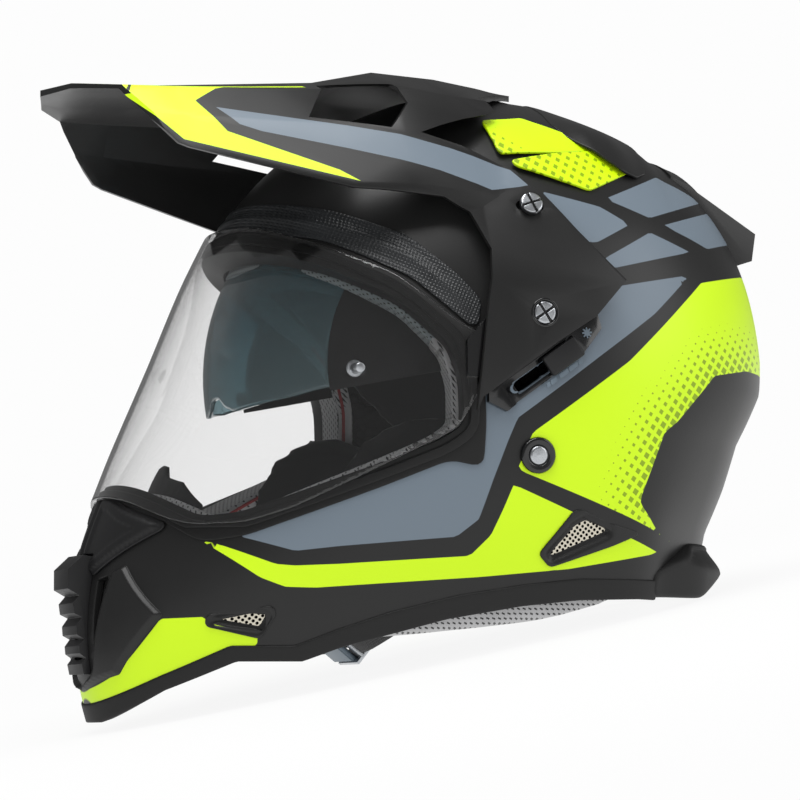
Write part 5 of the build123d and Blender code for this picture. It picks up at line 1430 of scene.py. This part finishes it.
# A brushed nap takes nearly all the shine and lifts the edges with a faint sheen
suede, tree, shader = material("black_brushed_suede", Roughness=0.95, Sheen_Weight=0.2)
vary(tree, shader, "0d0d0e", "161617", 6, (0.9, 1.0))
bump(tree, shader, grain(tree, 0.8), 0.12)
# Dyed thread is a thin, dull, deep line
red_thread, tree, shader = material("red_sewing_thread", Roughness=0.6)
vary(tree, shader, "7a1a1c", "9c2326", 2, (0.5, 0.7))

# %% Blow a pad up
PRESSURE, CLOTH_FRAMES = 4.0, 20


def baked(obj):
    """A new mesh with the form that an object's modifiers give it."""
    return bpy.data.meshes.new_from_object(obj.evaluated_get(bpy.context.evaluated_depsgraph_get()))


def swell(obj, cap_mm):
    """Cloth with pressure inside and no gravity, for twenty frames. Each point's way is
    cut to a cap, so that the pad doesn't grow into its neighbours."""
    before = coordinates(obj.data)
    cloth = obj.modifiers.new("fabric", "CLOTH")
    cloth.settings.use_pressure, cloth.settings.uniform_pressure_force = True, PRESSURE
    cloth.settings.effector_weights.gravity = 0
    cloth.point_cache.frame_end = CLOTH_FRAMES
    for number in range(1, CLOTH_FRAMES + 1):
        bpy.context.scene.frame_set(number)
    way = coordinates(baked(obj)) - before
    far = np.linalg.norm(way, axis=1, keepdims=True)
    way *= np.minimum(1, cap_mm * MM / np.maximum(far, 1e-9))
    obj.modifiers.clear()
    obj.data.vertices.foreach_set("co", (before + way).ravel())
    bpy.context.scene.frame_set(1)
    print(obj.name, "swelled by at most", round(float(np.linalg.norm(way, axis=1).max() / MM), 1), "mm")


def puffed(node, finish, voxel_mm=3.5, cap_mm=3.0, start_mm=1.5):
    """A soft copy of a node: remeshed evenly, shrunk a little, swollen, and smoothed
    once. Returns it with its worn points."""
    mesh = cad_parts[node].data.copy()
    draw_in(mesh)
    mesh.materials.clear()
    mesh.materials.append(finish)
    obj = bpy.data.objects.new(node + "_padded", mesh)
    bpy.context.scene.collection.objects.link(obj)
    bpy.context.view_layer.objects.active = obj
    remesh = obj.modifiers.new("even_mesh", "REMESH")
    remesh.mode, remesh.voxel_size = "VOXEL", voxel_mm * MM
    slack = obj.modifiers.new("slack", "DISPLACE")
    slack.strength, slack.mid_level = -start_mm * MM, 0.0
    ease = obj.modifiers.new("ease", "SMOOTH")
    ease.factor, ease.iterations = 0.5, 3
    even = baked(obj)
    obj.modifiers.clear()
    obj.data = even
    swell(obj, cap_mm)
    finer = obj.modifiers.new("smooth", "SUBSURF")
    finer.levels = finer.render_levels = 1
    final = baked(obj)
    obj.modifiers.clear()
    obj.data = final
    final.polygons.foreach_set("use_smooth", np.ones(len(final.polygons), bool))
    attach(obj, "helmet")
    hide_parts(node)
    return obj, worn(coordinates(final))


def assign(obj, finish, chosen):
    """Gives the faces whose middle passes a test another finish."""
    obj.data.materials.append(finish)
    number = len(obj.data.materials) - 1
    middles = np.empty(len(obj.data.polygons) * 3)
    obj.data.polygons.foreach_get("center", middles)
    index = np.where(chosen(worn(middles.reshape(-1, 3)) / MM), number, 0)
    obj.data.polygons.foreach_set("material_index", index.astype(np.int32))


def knit_marks(obj, u, v):
    """Keeps the two lengths, in metres, that the knit reads."""
    mark(obj, "u", u)
    mark(obj, "v", v)


# %% The pads
for side, way in SIDES:
    pad, at = puffed("cheek_pad_" + side, suede)
    knit_marks(pad, at[:, 1], at[:, 2])
crown, at = puffed("crown_liner", grey_knit, voxel_mm=4.0, cap_mm=1.5, start_mm=0.8)
knit_marks(crown, at[:, 1], np.hypot(at[:, 0], at[:, 2]))
assign(crown, suede, lambda p: p[:, 2] < 70)
roll, at = puffed("neck_roll", grey_knit, cap_mm=2.0, start_mm=1.0)
knit_marks(roll, at[:, 1], at[:, 2])

# %% The liner's rolled edge round the eye opening, with its red seam
EDGE_SUNK, EDGE_WALL = -13.5, 22
edge = band("liner_edge_mesh", -1.5, 3.4, 24, -66, EDGE_SUNK, EDGE_WALL, grey_knit, edge=2.2, slot="liner_fabric")
at = worn(coordinates(edge.data))
knit_marks(edge, at[:, 1] + at[:, 2], at[:, 0])
edge = band("liner_edge_brow", -1.5, 3.0, 80, 24, EDGE_SUNK, EDGE_WALL, teal_knit, edge=2.0, slot="liner_fabric")
at = worn(coordinates(edge.data))
knit_marks(edge, at[:, 0] + at[:, 1], at[:, 2])
band("liner_seam", 2.6, 3.6, 40, -60, -35.0, 1.1, red_thread, edge=0.4, slot="suede")

# %% [markdown]
# ## Chin strap
# Woven polyester, 24 mm wide, runs from each rivet down and forward under the chin to the
# micro-metric buckle. A cloth simulation could drape it, but it is pulled tight between
# two fixed ends, so a section carried along a drawn route has the same form.

# %% Webbing
STRAP_PATH = [(119, 9), (118, -14), (114, -38), (107, -60), (92, -84), (76, -96), (58, -105), (40, -111), (22, -111)]
STRAP_LEAN, STRAP_WIDTH, STRAP_WALL = math.radians(38.7), 24.0, 1.8
STRAP_STEPS, STRAP_COUNT, WEFT_MM, WARP_MM = 160, 48, 1.6, 2.4

# Crossing threads, each a small round hill, give the dull ribbed look of a strap. The low places between the hills are
# painted darker: painted shade between the threads.
webbing, tree, shader = material("woven_polyester_webbing", Roughness=0.8, Sheen_Weight=0.15)
waves = []
for kept, size in (("along", WEFT_MM), ("across", WARP_MM)):
    part = add(tree, "Attribute", {"attribute_name": kept}).outputs["Fac"]
    angle = add(tree, "Math", {"operation": "MULTIPLY"}, i0=part, i1=2 * math.pi / (size * MM)).outputs[0]
    waves.append(add(tree, "Math", {"operation": "SINE"}, i0=angle).outputs[0])
weave = add(tree, "Math", {"operation": "MULTIPLY"}, i0=waves[0], i1=waves[1])
raised = add(tree, "MapRange", Value=weave.outputs[0], From_Min=-1.0).outputs["Result"]
# Lower in the weave is darker: painted shade
tree.links.new(blend_colours(tree, raised, colour("0e0e0f"), colour("232324")), shader.inputs["Base Color"])
bump(tree, shader, raised, 0.25)

# %% The strap's route and section
corners = np.array(STRAP_PATH, float)
padded_path = np.vstack([2 * corners[0] - corners[1], corners, 2 * corners[-1] - corners[-2]])
share = np.linspace(0, len(corners) - 1.001, STRAP_STEPS)
line = cubic(padded_path, share.astype(int), (share % 1)[:, None])
heading = np.gradient(line, axis=0)
heading /= np.linalg.norm(heading, axis=1, keepdims=True)
thin = np.column_stack([-heading[:, 1], heading[:, 0]])
angle = np.linspace(0, 2 * math.pi, STRAP_COUNT, endpoint=False)
width = STRAP_WIDTH / 2 * np.sign(np.cos(angle)) * np.abs(np.cos(angle)) ** 0.25
depth = STRAP_WALL / 2 * np.sign(np.sin(angle)) * np.abs(np.sin(angle)) ** 0.6
flat_line = line[:, None, :] + thin[:, None, :] * depth[None, :, None]
x, z = flat_line[..., 0], flat_line[..., 1]
y = width[None] + 0 * x
c, s = math.cos(STRAP_LEAN), math.sin(STRAP_LEAN)
rings = np.stack([x, RIVET[0] + y * c + z * s, RIVET[1] - y * s + z * c], -1)
points = np.concatenate([rings.reshape(-1, 3), rings[[0, -1]].mean(1)])
faces = closed_tube(STRAP_STEPS, STRAP_COUNT)
length = np.concatenate([[0], np.cumsum(np.linalg.norm(np.diff(line, axis=0), axis=1))])
print("strap:", round(float(length[-1])), "mm from the rivet to the buckle")
for side, way in SIDES:
    shape = points * (way, 1, 1)
    turned = faces[:, ::-1] if volume_of(shape, faces) < 0 else faces
    strap = make("webbing_" + side, shape * MM, turned, webbing, stands_for=["chin_strap_" + side], slot="webbing")
    mark(strap, "along", np.append(np.repeat(length, STRAP_COUNT), [0, length[-1]]) * MM)
    mark(strap, "across", np.append(np.tile(width, STRAP_STEPS), [0, 0]) * MM)

# %% Buckle, hubs and pins with eased edges
for node, width, finish, body, slot in (("buckle_body", 0.6, zinc_steel, "helmet", "steel"),
                                        ("buckle_lever", 0.6, grey_abs, "buckle_lever", "grey_plastic"),
                                        ("buckle_tongue", 0.4, textured_abs, "helmet", "matte_black"),
                                        ("pivot_hub_left", 0.5, textured_abs, "helmet", "matte_black"),
                                        ("pivot_hub_right", 0.5, textured_abs, "helmet", "matte_black"),
                                        ("shield_lens_pins", 0.5, zinc_steel, "shield", "steel")):
    eased(node, width, finish, body)

# %% [markdown]
# ## Polystyrene and hidden pieces
# Expanded polystyrene is thousands of beads pressed together: a cell pattern of about
# four millimetres. The remaining pieces are hidden inside, so a new skin would never be
# seen, and they keep the CAD's own shape with a real finish on it.

# %% Finishes of the pieces that stay as the CAD made them
BEAD_MM = 4
foam_black, tree, shader = material("expanded_polystyrene", Roughness=0.9)
beads = add(tree, "TexVoronoi", {"feature": "DISTANCE_TO_EDGE"}, Vector=object_point(tree), Scale=1 / (BEAD_MM * MM))
seams = add(tree, "MapRange", Value=beads.outputs["Distance"], From_Max=0.15).outputs["Result"]
tree.links.new(blend_colours(tree, seams, colour("0c0c0c"), colour("191919")), shader.inputs["Base Color"])
bump(tree, shader, seams, 0.2)
eased("eps_liner", 0.01, foam_black, angle=60).modifiers.clear()

FINISH = {"chin_eps": foam_black, "peak_spacers": textured_abs, "sun_visor_arm_left": textured_abs,
          "sun_visor_arm_right": textured_abs, "sun_visor_pins": zinc_steel, "slider_carriage": textured_abs}
for node, finish in FINISH.items():
    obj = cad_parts[node]
    obj.data.materials.clear()
    obj.data.materials.append(finish)
print("dressed", len(FINISH), "nodes")

# %% [markdown]
# ## Floor and light
# The photograph is a plain catalogue shot: near-white all round, one broad light from
# above and weaker ones from the sides. The floor fades into the background's own
# brightness a little way out, so that no horizon shows from any side.

# %% The background
BACKDROP = "fdfdfd"
MATTE_SHARE, GLOSS_SHARE, SHADOW = 0.5, 0.17, 0.08

world = bpy.data.worlds.new("studio")
world.use_nodes = True
tree = world.node_tree
background = tree.nodes["Background"]
background.inputs["Color"].default_value = colour(BACKDROP)
# Seen directly or through the shield it has its full brightness. After a bounce off a
# matte or a glossy face only a share is left, so that the lamps model the form and black
# lacquer stays black
paths = add(tree, "LightPath")
matte_share = add(tree, "MapRange", Value=paths.outputs["Diffuse Depth"], To_Min=1.0, To_Max=MATTE_SHARE)
gloss_share = add(tree, "MapRange", Value=paths.outputs["Glossy Depth"], To_Min=1.0, To_Max=GLOSS_SHARE)
strength = add(tree, "Math", {"operation": "MULTIPLY"}, i0=matte_share.outputs["Result"],
               i1=gloss_share.outputs["Result"])
tree.links.new(strength.outputs[0], background.inputs["Strength"])
bpy.context.scene.world = world
bpy.context.scene.view_settings.view_transform = "Standard"

# %% The floor
FLOOR_RADIUS, FLOOR_CORNERS, FADE_START, FADE_END = 6.0, 96, 0.35, 1.1

steps = np.linspace(0, 2 * math.pi, FLOOR_CORNERS, endpoint=False)
disc = np.column_stack([np.cos(steps), np.sin(steps), 0 * steps]) * FLOOR_RADIUS
floor_mesh = bpy.data.meshes.new("floor")
floor_mesh.from_pydata(disc, [], [list(range(FLOOR_CORNERS))])
floor = bpy.data.objects.new("floor", floor_mesh)
bpy.context.scene.collection.objects.link(floor)
# Matte paper takes only the soft shadow where the helmet stands
paper, tree, shader = material("white_sweep_paper", Base_Color=colour("f4f4f4"), Roughness=0.9)
glow = add(tree, "Emission", Color=colour(BACKDROP), Strength=1.0)
reach = add(tree, "VectorMath", {"operation": "LENGTH"}, i0=object_point(tree))
fade = add(tree, "MapRange", {"interpolation_type": "SMOOTHSTEP"}, Value=reach.outputs["Value"],
           From_Min=FADE_START, From_Max=FADE_END, To_Min=1 - SHADOW)
mix = add(tree, "MixShader", i0=fade.outputs["Result"], i1=shader.outputs["BSDF"], i2=glow.outputs["Emission"])
tree.links.new(mix.outputs["Shader"], tree.nodes["Material Output"].inputs["Surface"])
floor_mesh.materials.append(paper)

# %% The lamps: position and size in metres, power in watts, and whether gloss shows them
LAMPS = (("top_box", (0.5, 0.0, 1.7), 1.2, 26, True), ("side_box", (1.6, -0.9, 0.6), 1.0, 6, False),
         ("front_box", (0.3, -1.8, 0.6), 0.9, 3, False), ("rear_box", (1.0, 1.5, 0.6), 0.9, 6, True),
         ("far_box", (-1.6, 0.3, 0.8), 1.0, 4, False))
AIM = Vector((0, 0, 0.15))

for name, position, size, power, shines in LAMPS:
    data = bpy.data.lights.new(name, "AREA")
    data.size, data.energy = size, power
    obj = bpy.data.objects.new(name, data)
    bpy.context.scene.collection.objects.link(obj)
    turn = (Vector(position) - AIM).to_track_quat("Z", "Y").to_matrix().to_4x4()
    obj.matrix_world = Matrix.Translation(position) @ turn
    obj.visible_glossy, obj.visible_transmission = shines, False
print("lamps:", len(LAMPS))
